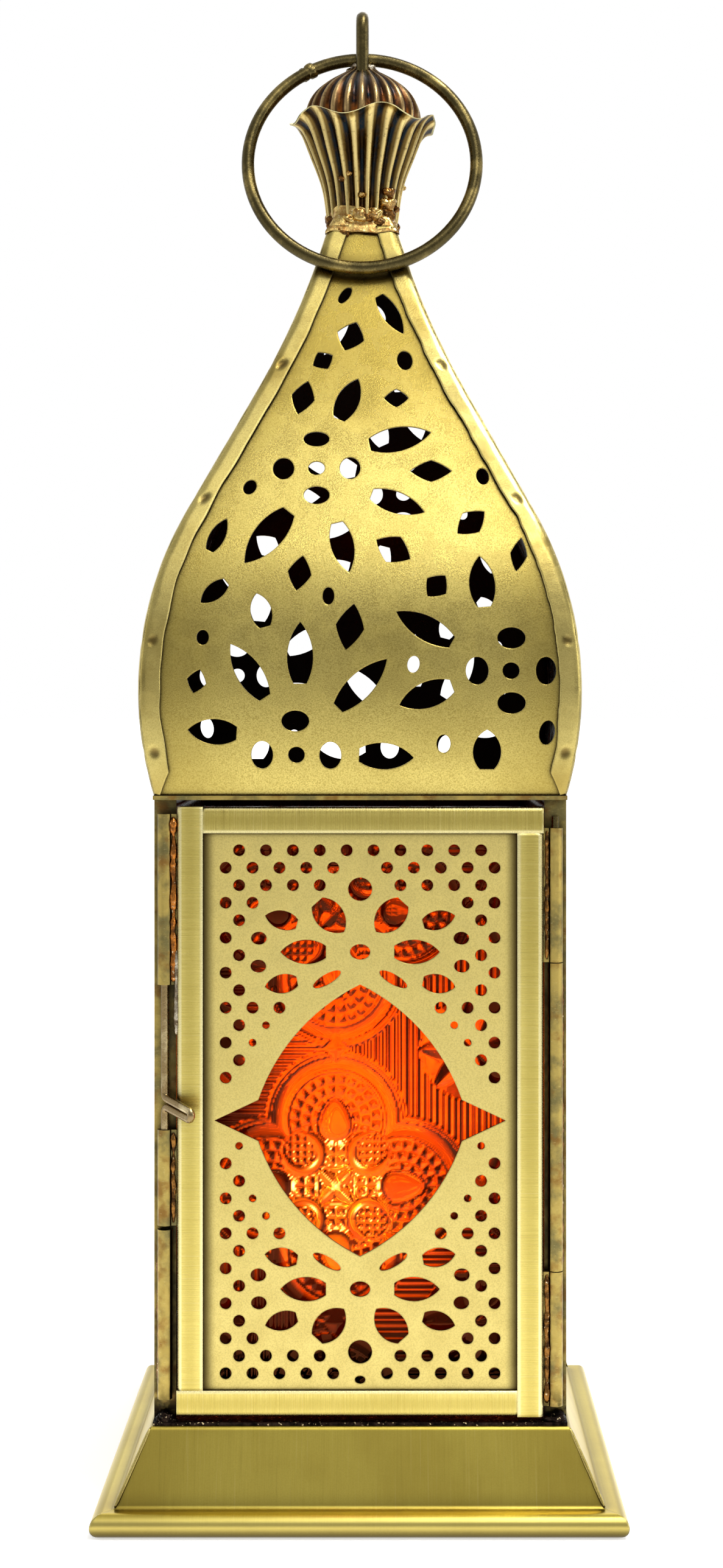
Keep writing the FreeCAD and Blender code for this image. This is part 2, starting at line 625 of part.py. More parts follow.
def dome_panel():
    """Pierced front panel of the dome."""
    sheet = dome_profile().makeOffset2D(SHEET, 0, True, True)
    panel = dome_level(mitred(sheet, BULGE_SIDE, MITRE_GAP))

    def level(height):
        return DOME_FOOT + (height - DOME_PATTERN_FOOT) * DOME_HEIGHT / DOME_PATTERN_HEIGHT

    outlines = [placed(petal(a, b), x, level(z), turn) for x, z, a, b, turn in DOME_PETALS]
    outlines += [placed(diamond(a, b), x, level(z), turn) for x, z, a, b, turn in DOME_DIAMONDS]
    outlines += [placed(oval(a, b), x, level(z), turn) for x, z, a, b, turn in DOME_OVALS]
    cutters = [Part.Face(outline).extrude(Vector(0, -BULGE_SIDE, 0)) for outline in outlines]
    return panel.cut(Part.makeCompound(cutters))


def dome_binding():
    """Angle strip folded over the front right corner of the dome."""
    inside = dome_profile().makeOffset2D(-BIND_GAP, 0, False, True)
    section = Part.Wire(inside.Edges).makeOffset2D(-BIND_SHEET, 0, True, True)
    strip = section.extrude(Vector(BULGE_SIDE, 0, 0))
    reach = BULGE_SIDE
    leg = polygon_prism(((0, 0), (reach, -reach), (reach - BIND_WIDTH, -reach), (-BIND_WIDTH, 0)),
                        DOME_FOOT - 1, DOME_HEIGHT + 2)
    front = dome_level(strip.common(leg))
    side = front.mirror(Vector(0, 0, 0), Vector(1, 1, 0))
    return front.fuse(side).removeSplitter()


# Finial

def fluted_ring(radius, level, folds, depth, ruffle):
    """Closed wavy curve: folds round the circle, and a slower rise and fall of the level."""
    count = 6 * folds
    points = []
    for step in range(count):
        angle = 2 * math.pi * step / count
        reach = radius + depth * math.cos(folds * angle)
        phase = RUFFLES * (angle + math.pi / 2 - math.radians(RUFFLE_TURN))
        points.append(Vector(reach * math.cos(angle), reach * math.sin(angle),
                             level + ruffle * math.cos(phase)))
    curve = Part.BSplineCurve()
    curve.interpolate(points, PeriodicFlag=True)
    return Part.Wire(curve.toShape())


def walled(outer, inner):
    """Hollow wall between an outer and an inner run of closed curves, open at both ends."""
    faces = Part.makeLoft(outer, False).Faces + Part.makeLoft(inner, False).Faces
    faces.append(Part.makeRuledSurface(outer[0].Edges[0], inner[0].Edges[0]))
    faces.append(Part.makeRuledSurface(outer[-1].Edges[0], inner[-1].Edges[0]))
    shell = Part.Shell(faces)
    shell.sewShape()
    solid = Part.Solid(shell.Shells[0] if shell.ShapeType == "Compound" else shell)
    if solid.Volume < 0:
        solid.reverse()
    return solid


def finial_cup():
    """Fluted cup flaring to a ruffled rim."""
    levels = (
        (CUP_NECK, 0.0, 0.3, 0.0),
        (CUP_LOW, 0.3, 0.8, 0.0),
        (CUP_MID, 0.58, 1.0, 0.0),
        (CUP_HIGH, 0.85, 1.0, 0.25),
        ((CUP_HIGH + CUP_RIM) / 2, 0.96, 0.5, 0.7),
        (CUP_RIM, 1.0, 0.15, 1.0),
    )

    def run(inset):
        return [fluted_ring(radius - inset, NECK + part * CUP_HEIGHT, FLUTES, FLUTE_DEPTH * fold,
                            RUFFLE_DEPTH * wave) for radius, part, fold, wave in levels]

    return walled(run(0), run(SHEET))


def finial_cap():
    """Ribbed cap standing in the mouth of the cup, pierced for the two legs of the eye."""
    levels = (
        (CAP_FOOT, 0.0, 0.8),
        (CAP_LOW, 0.38, 1.0),
        (CAP_MID, 0.58, 1.0),
        (CAP_HIGH, 0.82, 0.8),
        (CAP_TIP, 1.0, 0.3),
    )

    def run(inset):
        return [fluted_ring(radius - inset, CAP_BASE + part * CAP_HEIGHT, CAP_RIBS, RIB_DEPTH * rib, 0)
                for radius, part, rib in levels]

    cap = walled(run(0), run(SHEET))
    for way in (1, -1):
        foot = Vector(0, way * eye_half(), CAP_BASE)
        cap = cap.cut(Part.makeCylinder(EYE_WIRE / 2 + REST_GAP / 2, CAP_HEIGHT + 1, foot, UP))
    return cap


def eye_half():
    """Distance of an eye leg from the middle."""
    return RING_WIRE / 2 + SIDE_GAP + EYE_WIRE / 2


def hanging_eye():
    """Staple through the cap that holds the carrying ring."""
    half = eye_half()
    arch = CAP_TOP + EYE_HEIGHT - EYE_WIRE / 2 - half
    foot = CAP_TOP - EYE_TAIL
    path = Part.Wire([
        line(Vector(0, -half, foot), Vector(0, -half, arch)),
        arc(Vector(0, -half, arch), Vector(0, 0, arch + half), Vector(0, half, arch)),
        line(Vector(0, half, arch), Vector(0, half, foot)),
    ])
    return round_wire(path, EYE_WIRE / 2)


def ring_lean():
    """Degrees the ring leans forward from upright when it lies against the front of the dome."""
    low = 2.0
    high = 45.0
    for halving in range(40):
        lean = math.radians((low + high) / 2)
        level = RING_PIVOT - 2 * RING_RADIUS * math.cos(lean)
        needed = (dome_half(min(level, NECK)) + BIND_GAP + BIND_SHEET + SIDE_GAP
                  + RING_WIRE / 2 / math.cos(dome_slope()))
        if 2 * RING_RADIUS * math.sin(lean) < needed:
            low = (low + high) / 2
        else:
            high = (low + high) / 2
    return high


def carry_ring():
    """Round wire ring hanging in the eye."""
    ring = Part.makeTorus(RING_RADIUS, RING_WIRE / 2, Vector(0, 0, RING_PIVOT - RING_RADIUS), Vector(0, 1, 0))
    ring.rotate(Vector(0, 0, RING_PIVOT), Vector(1, 0, 0), -ring_lean())
    return ring


# Candle

def turned(corners):
    """Solid of revolution about the middle from radius and height pairs."""
    points = [Vector(radius, 0, level) for radius, level in corners]
    return Part.Face(Part.makePolygon(points + points[:1])).revolve(Vector(0, 0, 0), UP, 360)


def candle_dish():
    """Shallow dish fixed to the floor plate."""
    inner = CANDLE / 2 + DISH_GAP
    outer = inner + SHEET
    seat = FLOOR_TOP + SHEET
    return turned(((0, FLOOR_TOP), (outer, FLOOR_TOP), (outer, FLOOR_TOP + DISH_WALL),
                   (inner, FLOOR_TOP + DISH_WALL), (inner, seat), (0, seat)))


def candle_wax():
    """Short candle with a hollow melt pool and a bore for its wick."""
    seat = FLOOR_TOP + SHEET
    top = seat + CANDLE_HEIGHT
    bore = WICK / 2
    return turned(((0, seat), (CANDLE / 2, seat), (CANDLE / 2, top), (CANDLE / 2 * 0.8, top),
                   (CANDLE / 2 * 0.5, top - MELT_POOL), (bore, top - MELT_POOL),
                   (bore, top - WICK_SUNK), (0, top - WICK_SUNK)))


def candle_wick():
    """Wick standing in the wax."""
    top = FLOOR_TOP + SHEET + CANDLE_HEIGHT
    return Part.makeCylinder(WICK / 2, WICK_SUNK + WICK_RISE, Vector(0, 0, top - WICK_SUNK), UP)


def lantern():
    """Every piece of the lantern by node name."""
    nodes = {}
    wall = plinth_wall()
    panel = dome_panel()
    binding = dome_binding()
    side_unit = framed_panel(UNIT_HALF, DOOR_FOOT, DOOR_TOP)
    for index, side in enumerate(SIDES):
        nodes["plinth_" + side] = on_side(wall, index)
        nodes["dome_panel_" + side] = on_side(panel, index)
        nodes["dome_binding_%d" % (index + 1)] = on_side(binding, index)
        if index > 0:
            for piece, shape in side_unit.items():
                nodes[side + "_" + piece] = on_side(shape, index)
    for piece, shape in framed_panel(DOOR_HALF, DOOR_FOOT, DOOR_TOP).items():
        nodes["door_" + piece] = shape
    front_post = post(POST_FACE, -UNIT_HALF)
    back_post = post(BODY_HALF, UNIT_HALF)
    nodes["post_front_left"] = front_post
    nodes["post_front_right"] = front_post.mirror(Vector(0, 0, 0), Vector(1, 0, 0))
    nodes["post_back_left"] = back_post
    nodes["post_back_right"] = back_post.mirror(Vector(0, 0, 0), Vector(1, 0, 0))
    nodes["floor_plate"] = floor_plate()
    nodes["top_frame"] = top_frame()
    nodes.update(hinge())
    nodes.update(latch())
    nodes["finial_cup"] = finial_cup()
    nodes["finial_cap"] = finial_cap()
    nodes["hanging_eye"] = hanging_eye()
    nodes["carry_ring"] = carry_ring()
    nodes["candle_dish"] = candle_dish()
    nodes["candle_wax"] = candle_wax()
    nodes["candle_wick"] = candle_wick()
    return nodes


os.makedirs("parts", exist_ok=True)
for name, shape in lantern().items():
    shape.exportStep("parts/" + name + ".step")
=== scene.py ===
"""Looks of the pierced brass candle lantern: brass finishes, pressed amber glass, flame, brazing, studio."""
import json
import math
import bmesh
import bpy
import numpy as np
from mathutils import Matrix, Vector, noise


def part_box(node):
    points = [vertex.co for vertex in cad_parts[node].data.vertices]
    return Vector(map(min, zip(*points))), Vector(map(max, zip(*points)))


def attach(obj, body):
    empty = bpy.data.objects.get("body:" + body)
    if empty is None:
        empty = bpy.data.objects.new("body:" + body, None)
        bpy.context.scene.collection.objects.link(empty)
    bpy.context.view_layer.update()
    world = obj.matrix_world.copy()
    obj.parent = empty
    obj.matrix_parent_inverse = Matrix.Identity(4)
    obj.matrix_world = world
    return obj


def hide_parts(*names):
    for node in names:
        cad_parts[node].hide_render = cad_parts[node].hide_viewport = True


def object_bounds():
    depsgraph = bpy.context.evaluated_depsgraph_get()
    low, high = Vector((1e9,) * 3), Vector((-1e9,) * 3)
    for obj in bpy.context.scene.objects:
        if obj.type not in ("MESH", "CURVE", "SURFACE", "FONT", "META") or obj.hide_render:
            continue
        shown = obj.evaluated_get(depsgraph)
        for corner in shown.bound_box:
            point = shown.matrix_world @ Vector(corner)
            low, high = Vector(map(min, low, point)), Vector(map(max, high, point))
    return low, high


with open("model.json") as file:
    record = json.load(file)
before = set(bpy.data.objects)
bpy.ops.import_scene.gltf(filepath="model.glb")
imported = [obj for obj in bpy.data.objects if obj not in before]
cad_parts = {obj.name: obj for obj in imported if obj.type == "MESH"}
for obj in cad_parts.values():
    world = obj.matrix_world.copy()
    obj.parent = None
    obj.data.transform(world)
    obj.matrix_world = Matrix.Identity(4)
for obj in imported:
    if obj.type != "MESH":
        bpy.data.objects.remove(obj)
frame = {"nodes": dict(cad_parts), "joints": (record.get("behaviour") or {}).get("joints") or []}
cad_low, cad_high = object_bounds()

MM = 0.001
FIXED_SIDES = ("right", "back", "left")

# Photograph frame in pixels, and the camera that took it
FRAME_WIDE = 1187
FRAME_HIGH = 2576
AXIS_PIXEL = (640.9, 1153.1)       # where the camera's axis meets the picture
CAMERA_PLACE = Vector((5.74, -476.9, 155.2)) * MM
CAMERA_LENS = 53.0

# Pressed glass pattern, in millimetres
RELIEF = 0.9                       # depth of the pressing
RELIEF_STEP = 0.32                 # grid of the pressed face
TILE = 52.2                        # quatrefoil to quatrefoil
TILE_MIDDLE = (-4.6, 63.1)         # middle of the quatrefoil behind the medallion
LOBE = 12.6                        # quatrefoil middle to lobe middle
LOBE_RADIUS = 13.4
HOLLOW = (9.6, 12.0)               # lobe middle to the two edges of its smooth hollow
HOLLOW_MIDDLE = 10.8               # and to the deepest line of it
HOLLOW_LIP = 9.2                   # and to the ridge inside it
STUD_REACH = 8.8                   # lobe middle to the outer edge of its studs
BEAD = 2.05                        # size of a pressed stud
LENS_HALF = (2.9, 3.9)             # half the lens in a lobe, across and along
RIB = 1.15                         # rib to rib in the corner fields
LEAF_LENGTH = 10.5                 # leaf of the star in a corner field
LEAF_HALF = 2.1
STAR_FIELD = 10.0                  # radius of the sunk field round the star
PETAL_LENGTH = 4.6                 # petal in the middle of the quatrefoil
PETAL_HALF = 1.25
DIAGONAL = 1.414
CRESCENT = 6.2                     # quatrefoil middle to a crescent's middle, across and up
CRESCENT_RADIUS = 4.4
CRESCENT_RIDGE = (3.3, 1.1)        # radius and half width of its ridge
NEST = 6.9                         # quatrefoil middle to the studs in the crescent, across and up
NEST_RADIUS = 2.9
NEST_STUD = 1.4
BOSS_RADIUS = 1.1                  # boss in the middle of the quatrefoil
KNOT = 2.6                         # reach of the knot where two quatrefoils meet
GLASS_INDEX = 1.5
# The glass's glow, shade and dazzle are painted, worked out from where sight lines through the pressing end
FLAME_IMAGE = (TILE_MIDDLE[0], -37.5, TILE_MIDDLE[1])    # where the flame shows on the front pane
UNLIT_FOOT = 28.0                  # height below which the glass is painted dark
LIT_FOOT = 36.0                    # height above which its painted glow is full
LIT_MIDDLE = 82.0                  # height of the middle of the lit space behind a pane
LIT_HALF = (24.0, 41.0)            # half its width and half its height
LIT_DEPTH = 60.0                   # pane to the far wall of the lit space
FLAME_DEPTH = 37.0                 # pane to the flame
SHADE_STEEP = 2.4                  # how sharply the painted shade sets in where the lit space ends
SHADE_START = 1.35
DAZZLE = 3.3                       # radius of the flame's painted dazzle

# Plinth walls
PLINTH_TOP = 39.8                  # middle of the lantern to the top edge of a wall
PLINTH_LEVEL = 18.0                # height of the top edge
PLINTH_FOOT = 45.8                 # middle of the lantern to the foot of a wall
HEM_LEVEL = 4.4                    # height of the foot, on the hem's ledge
HEM_CORNER = (48.3, -48.3, 2.6)    # drop that closes a corner of the hem
HEM_DROP = 1.35

# Brazing of tubes and posts: places are aside and in depth, ends are short of the tube's ends
RUN_STEP = 0.4                     # ring to ring along a run
RUN_POINTS = 14                    # points round each ring
RUN_TIP = 1.6                      # length over which a run's end is rounded
TUBE_SEAM = (35.45, -38.45)        # tube to the edge of the door
TUBE_SEAM_END = 0.6
POST_SEAM = (38.3, -36.7)          # tube to a post
POST_SEAM_END = 0.5
TORN_SOLDER = (-34.85, -38.6)      # torn run beside the latch
TORN_LEVELS = (92, 108)
POST_FOOT_DROPS = (                # place and half sizes of each burnt drop at a post's foot
    ((36.9, -37.9, 18.7), (2.3, 1.0, 0.8)),
    ((38.3, -36.6, 18.9), (0.9, 1.8, 0.9)),
    ((37.6, -37.3, 19.4), (1.2, 1.0, 0.9)),
)

# Brazed neck under the finial, and the solder of its eye and ring
NECK_FOOT = 250.8
NECK_TOP = 256.4
NECK_WAIST = 6.2                   # radius drawn in above the square top of the dome
NECK_RINGS = 24
NECK_POINTS = 96                   # points round each ring
EYE_DROP_TURNS = range(20, 380, 72)    # drops of solder round the foot of the eye, in degrees
EYE_DROP_RADIUS = 2.1
EYE_DROP_HALF = (1.3, 1.3, 0.8)
WELD_TURN = -27                    # join of the ring, in degrees round it from the eye

# Flame
FLAME_FOOT = 46.5
FLAME_HEIGHT = 14.0
FLAME_RADIUS = 1.6
FLAME_LEAN = -7.0                  # sideways lean of the tip
FLAME_STEPS = 24                   # rings up the flame, and points round each
FLAME_WATTS = 0.05
FLAME_COLOUR = (1.0, 0.62, 0.26)
FLAME_SOFT = 0.004                 # radius of the light in metres

# Corner bindings of the dome
BIND_WIDTH = 4.3
BIND_SHEET = 0.57                  # measured level, across the sloping sheet
BIND_WAVE = 0.35                   # waviness of the cut edge
BIND_LIFT = 0.35                   # cut edge standing off the panel
BIND_CROWN = 0.55                  # how far the rounded fold falls short of a sharp corner
BIND_ROUND = 1.9                   # width of the rounding
BIND_TAPER = 4.5                   # height over which a strip narrows to its foot
BIND_COLUMNS = 14                  # points across each leg
BIND_ROWS = 260                    # points up the strip
DIMPLE_LEVELS = (145.7, 166.8, 194.4, 222.3)
DIMPLE_INSET = 2.3                 # fold to the middle of a dimple
DIMPLE_RADIUS = 1.0
DIMPLE_DEPTH = 0.34

# Studio, in metres and watts
FLOOR_HALF = 20.0
FLOOR_NEAR = 120.0                 # millimetres from the middle within which the floor is dimmest
FLOOR_FAR = 600.0                  # and beyond which it is white
SHINE = 0.56                       # how bright the near floor is in the brass
SHINE_FAR = 500.0                  # millimetres from the middle beyond which the brass doesn't show it
FLAG_ASIDE = 0.55                  # sideways part of the direction to a dark flag
FLAG_DARK = 0.7                    # share of the light that a flag takes away
SOFTBOXES = (                      # name, place, size, power
    ("top", (0.15, -0.75, 1.05), 0.8, 1.4),
    ("left", (-0.95, -0.25, 0.35), 0.5, 0.35),
    ("right", (0.95, -0.35, 0.4), 0.5, 1.6),
    ("rim", (0.1, 0.9, 0.7), 0.7, 1.8),
    ("overhead", (0.3, -0.25, 1.1), 0.3, 5.0),
    ("gleam", (0.18, -0.78, 1.08), 0.22, 0.8),
)


def srgb(red, green, blue):
    """Colour as seen on a screen, 0 to 255, as the linear colour of a shader."""
    linear = [((c / 255 + 0.055) / 1.055) ** 2.4 for c in (red, green, blue)]
    return (*linear, 1.0)


# Shader nodes

def add(tree, kind, inputs=None, output=0, **settings):
    """New shader node with its settings and its inputs, values or sockets; gives one of its outputs."""
    made = tree.nodes.new("ShaderNode" + kind)
    for key, value in settings.items():
        setattr(made, key, value)
    for key, value in (inputs or {}).items():
        if isinstance(value, bpy.types.NodeSocket):
            tree.links.new(value, made.inputs[key])
        else:
            made.inputs[key].default_value = value
    return made.outputs[output]


def maths(tree, operation, first, second=0.0, third=0.0):
    """Sum, product or other operation on values."""
    return add(tree, "Math", {0: first, 1: second, 2: third}, operation=operation)


def remap(tree, value, low, high, start=0.0, end=1.0):
    """Value between low and high brought smoothly to between start and end."""
    limits = {"Value": value, "From Min": low, "From Max": high, "To Min": start, "To Max": end}
    return add(tree, "MapRange", limits, interpolation_type="SMOOTHSTEP")


def mix(tree, factor, first, second):
    """Colour between two colours."""
    return add(tree, "Mix", {0: factor, 6: first, 7: second}, output=2, data_type="RGBA")


def part_of(tree, vector, axis):
    """One number of a vector: 0 across, 1 in depth, 2 up."""
    return add(tree, "SeparateXYZ", {0: vector}, output=axis)


def place(tree, stretch=(1, 1, 1)):
    """Place on the piece in millimetres, stretched along each axis."""
    spot = add(tree, "TexCoord", output=3)
    return add(tree, "VectorMath", {0: spot, 1: [s / MM for s in stretch]}, operation="MULTIPLY")


def height_of(tree):
    """Height on the piece in millimetres."""
    return part_of(tree, place(tree), 2)


def sideways(tree):
    """Distance in millimetres to the right or left of the middle of the side that a face is on."""
    normal = add(tree, "VectorMath", {0: add(tree, "TexCoord", output=1)}, operation="ABSOLUTE")
    to_side = part_of(tree, normal, 0)
    to_front = part_of(tree, normal, 1)
    level = maths(tree, "ADD", maths(tree, "ADD", to_side, to_front), 0.001)
    share = maths(tree, "DIVIDE", to_front, level)
    x = part_of(tree, place(tree), 0)
    y = part_of(tree, place(tree), 1)
    return add(tree, "Mix", {0: share, 2: y, 3: x}, clamp_factor=False)


def brush_place(tree, across, along):
    """Place across and up whichever side of the lantern a face is on, stretched each way."""
    return add(tree, "CombineXYZ", {0: maths(tree, "MULTIPLY", sideways(tree), across),
                                    1: maths(tree, "MULTIPLY", height_of(tree), along)})


def cloud(tree, spot, scale, detail=3.0, rough=0.5):
    """Noise with a number of features to the millimetre."""
    return add(tree, "TexNoise", {"Vector": spot, "Scale": scale, "Detail": detail, "Roughness": rough})


def relief(tree, height, strength, depth, under=None):
    """Bumped normal from a height, depth in millimetres."""
    inputs = {"Height": height, "Strength": strength, "Distance": depth * MM}
    if under is not None:
        inputs["Normal"] = under
    return add(tree, "Bump", inputs)


def crevice(tree, reach, least=0.45, most=0.95):
    """1 in crevices and 0 on open faces, within a reach in millimetres, by the least and most open sky."""
    open_sky = add(tree, "AmbientOcclusion", {"Distance": reach * MM}, output=1, samples=6)
    return remap(tree, open_sky, least, most, 1.0, 0.0)


def rounded(tree, radius):
    """Normal of a face with its edges rounded over a radius in millimetres."""
    return add(tree, "Bevel", {"Radius": radius * MM}, samples=4)


def edges(tree, smooth):
    """1 along edges, where the rounded normal turns away from the face's own."""
    normal = add(tree, "NewGeometry", output=1)
    same = add(tree, "VectorMath", {0: smooth, 1: normal}, output=1, operation="DOT_PRODUCT")
    return remap(tree, same, 0.75, 0.985, 1.0, 0.0)


def mark_of(tree, name):
    """Number from 0 to 1 that a piece's points carry under a name."""
    return add(tree, "Attribute", output=2, attribute_name=name)


def inward(tree):
    """1 on faces that look towards the middle of the lantern."""
    level = add(tree, "VectorMath", {0: place(tree), 1: (1, 1, 0)}, operation="MULTIPLY")
    normal = add(tree, "TexCoord", output=1)
    facing = add(tree, "VectorMath", {0: level, 1: normal}, output=1, operation="DOT_PRODUCT")
    return remap(tree, facing, -3.0, 0.0, 1.0, 0.0)


def material(name):
    """New material, its node tree and its shader."""
    made = bpy.data.materials.new(name)
    made.use_nodes = True
    return made, made.node_tree, made.node_tree.nodes["Principled BSDF"]


def plug(tree, shader, **sockets):
    """Links or values for the shader's named sockets, with spaces written as underscores."""
    for key, value in sockets.items():
        socket = shader.inputs[key.replace("_", " ")]
        if isinstance(value, bpy.types.NodeSocket):
            tree.links.new(value, socket)
        else:
            socket.default_value = value


# Materials

UPRIGHT_LINES = (7, 0.10)          # features to the millimetre, across and up, of lines that run up
LEVEL_LINES = (0.10, 7)            # the same of lines that run across
# soot at the posts' feet, and soot with painted shade on inward faces
SOOT_AND_SHADE = srgb(24, 15, 12)
CREVICE_SHADE = srgb(52, 38, 18)           # painted shade in crevices
# painted shade along the borders of a sheet
SHADED_BORDER = srgb(84, 70, 34)
WORN_EDGE_HIGHLIGHT = srgb(250, 238, 176)  # rubbed fold, with a painted highlight
SHADED_EDGE = srgb(92, 74, 34)       # punched edge, painted shade of the sheet's thickness
BRIGHT_LINE = srgb(246, 232, 170)  # broad brush lines
DARK_LINE = srgb(120, 98, 40)
# painted highlight on a foot
FOOT_HIGHLIGHT = srgb(244, 226, 140)
DIMPLE_TONE = srgb(96, 74, 36)
BELOW_ALL = -9.0                   # height under the whole lantern
BEYOND_ALL = 999.0                 # distance past the whole lantern
SMOKE_AND_SHADE_FOOT = 196.0                 # height on the dome where tarnish and painted shade start to deepen
SMOKE_AND_SHADE_RUN = 30.0                   # height over which it does
BURNT_POST = (19.5, 27.0)          # heights between which the soot at a post's foot fades
PAINTED_WAX_GLOW = (22.0, 45.0)            # heights between which the candle's painted glow grows
CUP_FLUTES = 22
CUP_STAIN = (252, 262)             # heights between which the stain fades
CAP_RIBS = 24
CAP_STAIN = (273, 281)

# Boxes of the door frame's folded channels, and from them millimetres from the middle of the door
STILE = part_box("door_left_stile")
TOP_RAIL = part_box("door_top_rail")
BOTTOM_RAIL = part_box("door_bottom_rail")
SHEET_HALF = -STILE[1].x / MM
DOOR_HALF = -STILE[0].x / MM
DOOR_MIDDLE = (TOP_RAIL[1].z + BOTTOM_RAIL[0].z) / 2 / MM
RAIL_INSIDE = (TOP_RAIL[0].z - BOTTOM_RAIL[1].z) / 2 / MM
RAIL_OUTSIDE = (TOP_RAIL[1].z - BOTTOM_RAIL[0].z) / 2 / MM


def corner_share(tree):
    """How far a place is from the middle of its side, 0, to the corner of the lantern, 1."""
    spot = add(tree, "VectorMath", {0: place(tree)}, operation="ABSOLUTE")
    x = part_of(tree, spot, 0)
    y = part_of(tree, spot, 1)
    return maths(tree, "DIVIDE", maths(tree, "MINIMUM", x, y), maths(tree, "MAXIMUM", x, y))


def channel_edge(tree, from_middle, inside, outside):
    """Distance in millimetres to the nearer long edge of a folded channel."""
    inner = maths(tree, "SUBTRACT", from_middle, inside)
    return maths(tree, "MINIMUM", inner, maths(tree, "SUBTRACT", outside, from_middle))


def stile_edge(tree):
    """Distance to the nearer long edge of a stile."""
    return channel_edge(tree, maths(tree, "ABSOLUTE", sideways(tree)), SHEET_HALF, DOOR_HALF)


def rail_edge(tree):
    """Distance to the nearer long edge of a rail."""
    level = maths(tree, "SUBTRACT", height_of(tree), DOOR_MIDDLE)
    return channel_edge(tree, maths(tree, "ABSOLUTE", level), RAIL_INSIDE, RAIL_OUTSIDE)


def brass(name, colour, tarnish, rough, lines=None, brush=0.75, grain=0.3, crevice_shade=0.6, clouds=0.5, corners=0.0,
          rubbed=BELOW_ALL, smoke_and_shade=BEYOND_ALL, border=BEYOND_ALL, fold=0.4, edge=WORN_EDGE_HIGHLIGHT, channel=None):
    """Brass with tarnish, brush lines or grain, painted shade in crevices, and an inside darkened by soot and
    painted shade.

    brush, grain, the painted shade in crevices, clouds and corners are strengths from 0 to 1. rubbed is the
    height below which a painted highlight brightens the foot, the next height is where tarnish and painted
    shade darken the top, and border the half width of a sheet with painted shade along its borders. fold is
    the radius of rounded edges, edge their colour (a worn and painted highlight on folds, painted shade on
    punched edges), and channel gives the distance to the long edges of a channel, along which highlights are
    painted with painted shade between them.
    """
    made, tree, shader = material(name)
    spot = place(tree)
    stain = remap(tree, cloud(tree, spot, 0.06, 5), 0.42, 0.72, 0.0, clouds)
    tone = mix(tree, stain, colour, tarnish)
    tone = mix(tree, remap(tree, corner_share(tree), 0.55, 0.95, 0.0, corners), tone, tarnish)
    # top darkened with tarnish and painted shade
    tone = mix(tree, remap(tree, height_of(tree), smoke_and_shade, smoke_and_shade + SMOKE_AND_SHADE_RUN, 0.0, 0.75), tone, tarnish)
    fleck = cloud(tree, spot, 3.6, 3, 0.7)
    tone = mix(tree, remap(tree, fleck, 0.4, 0.65, 0.0, grain), tone, tarnish)
    smooth = rounded(tree, fold)
    normal = relief(tree, fleck, grain, 0.05, smooth)
    worn = cloud(tree, spot, 0.25, 4)
    if lines:
        streak = cloud(tree, brush_place(tree, *lines), 1.0, 4, 0.65)
        worn = cloud(tree, brush_place(tree, 0.4 * lines[0], 0.4 * lines[1]), 1.0, 2, 0.5)
        tone = mix(tree, remap(tree, streak, 0.4, 0.62, 0.0, brush), tone, tarnish)
        tone = mix(tree, remap(tree, worn, 0.6, 0.75, 0.0, 0.6 * brush), tone, BRIGHT_LINE)
        tone = mix(tree, remap(tree, worn, 0.4, 0.25, 0.0, 0.6 * brush), tone, DARK_LINE)
        normal = relief(tree, streak, 0.4 * brush, 0.06, normal)
    variety = brush if lines else 1.0
    finish = remap(tree, worn, 0.3, 0.7, rough - 0.06 * variety, rough + 0.08 * variety)
    # painted highlight on the foot below the given height
    tone = mix(tree, remap(tree, height_of(tree), rubbed - 1.0, rubbed, 0.4, 0.0), tone, FOOT_HIGHLIGHT)
    # rounded edges: a worn and painted highlight on folds, painted shade on punched edges
    tone = mix(tree, maths(tree, "MULTIPLY", edges(tree, smooth), 0.75), tone, edge)
    # painted highlights along the long edges of a channel, with painted shade towards its middle
    if channel:
        near = channel(tree)
        tone = mix(tree, remap(tree, near, 0.7, 2.2, 0.0, 0.5), tone, tarnish)
        tone = mix(tree, remap(tree, near, 0.25, 0.8, 0.85, 0.0), tone, edge)
    aside = maths(tree, "ABSOLUTE", sideways(tree))
    # painted shade along the borders of a sheet
    tone = mix(tree, remap(tree, aside, border - 2.6, border - 0.3, 0.0, 0.9), tone, SHADED_BORDER)
    # painted shade in crevices
    tone = mix(tree, maths(tree, "MULTIPLY", crevice(tree, 4.0, 0.55, 0.99), crevice_shade), tone, CREVICE_SHADE)
    # inward faces darkened with soot and painted shade
    tone = mix(tree, inward(tree), tone, SOOT_AND_SHADE)
    tone = mix(tree, mark_of(tree, "shade"), tone, DIMPLE_TONE)
    plug(tree, shader, Base_Color=tone, Metallic=1.0, Roughness=finish, Normal=normal)
    return made


def antique(name, colour, worn, rough):
    """Dark aged brass, rubbed bright in patches."""
    made, tree, shader = material(name)
    spot = place(tree)
    rubbed = remap(tree, cloud(tree, spot, 0.16, 5, 0.6), 0.46, 0.7)
    pitted = cloud(tree, spot, 2.2, 4, 0.65)
    tone = mix(tree, rubbed, colour, worn)
    tone = mix(tree, remap(tree, pitted, 0.55, 0.75, 0.0, 0.7), tone, srgb(48, 38, 24))
    finish = remap(tree, pitted, 0.3, 0.7, rough - 0.08, rough + 0.12)
    normal = relief(tree, pitted, 0.35, 0.12)
    plug(tree, shader, Base_Color=tone, Metallic=1.0, Roughness=finish, Normal=normal)
    return made


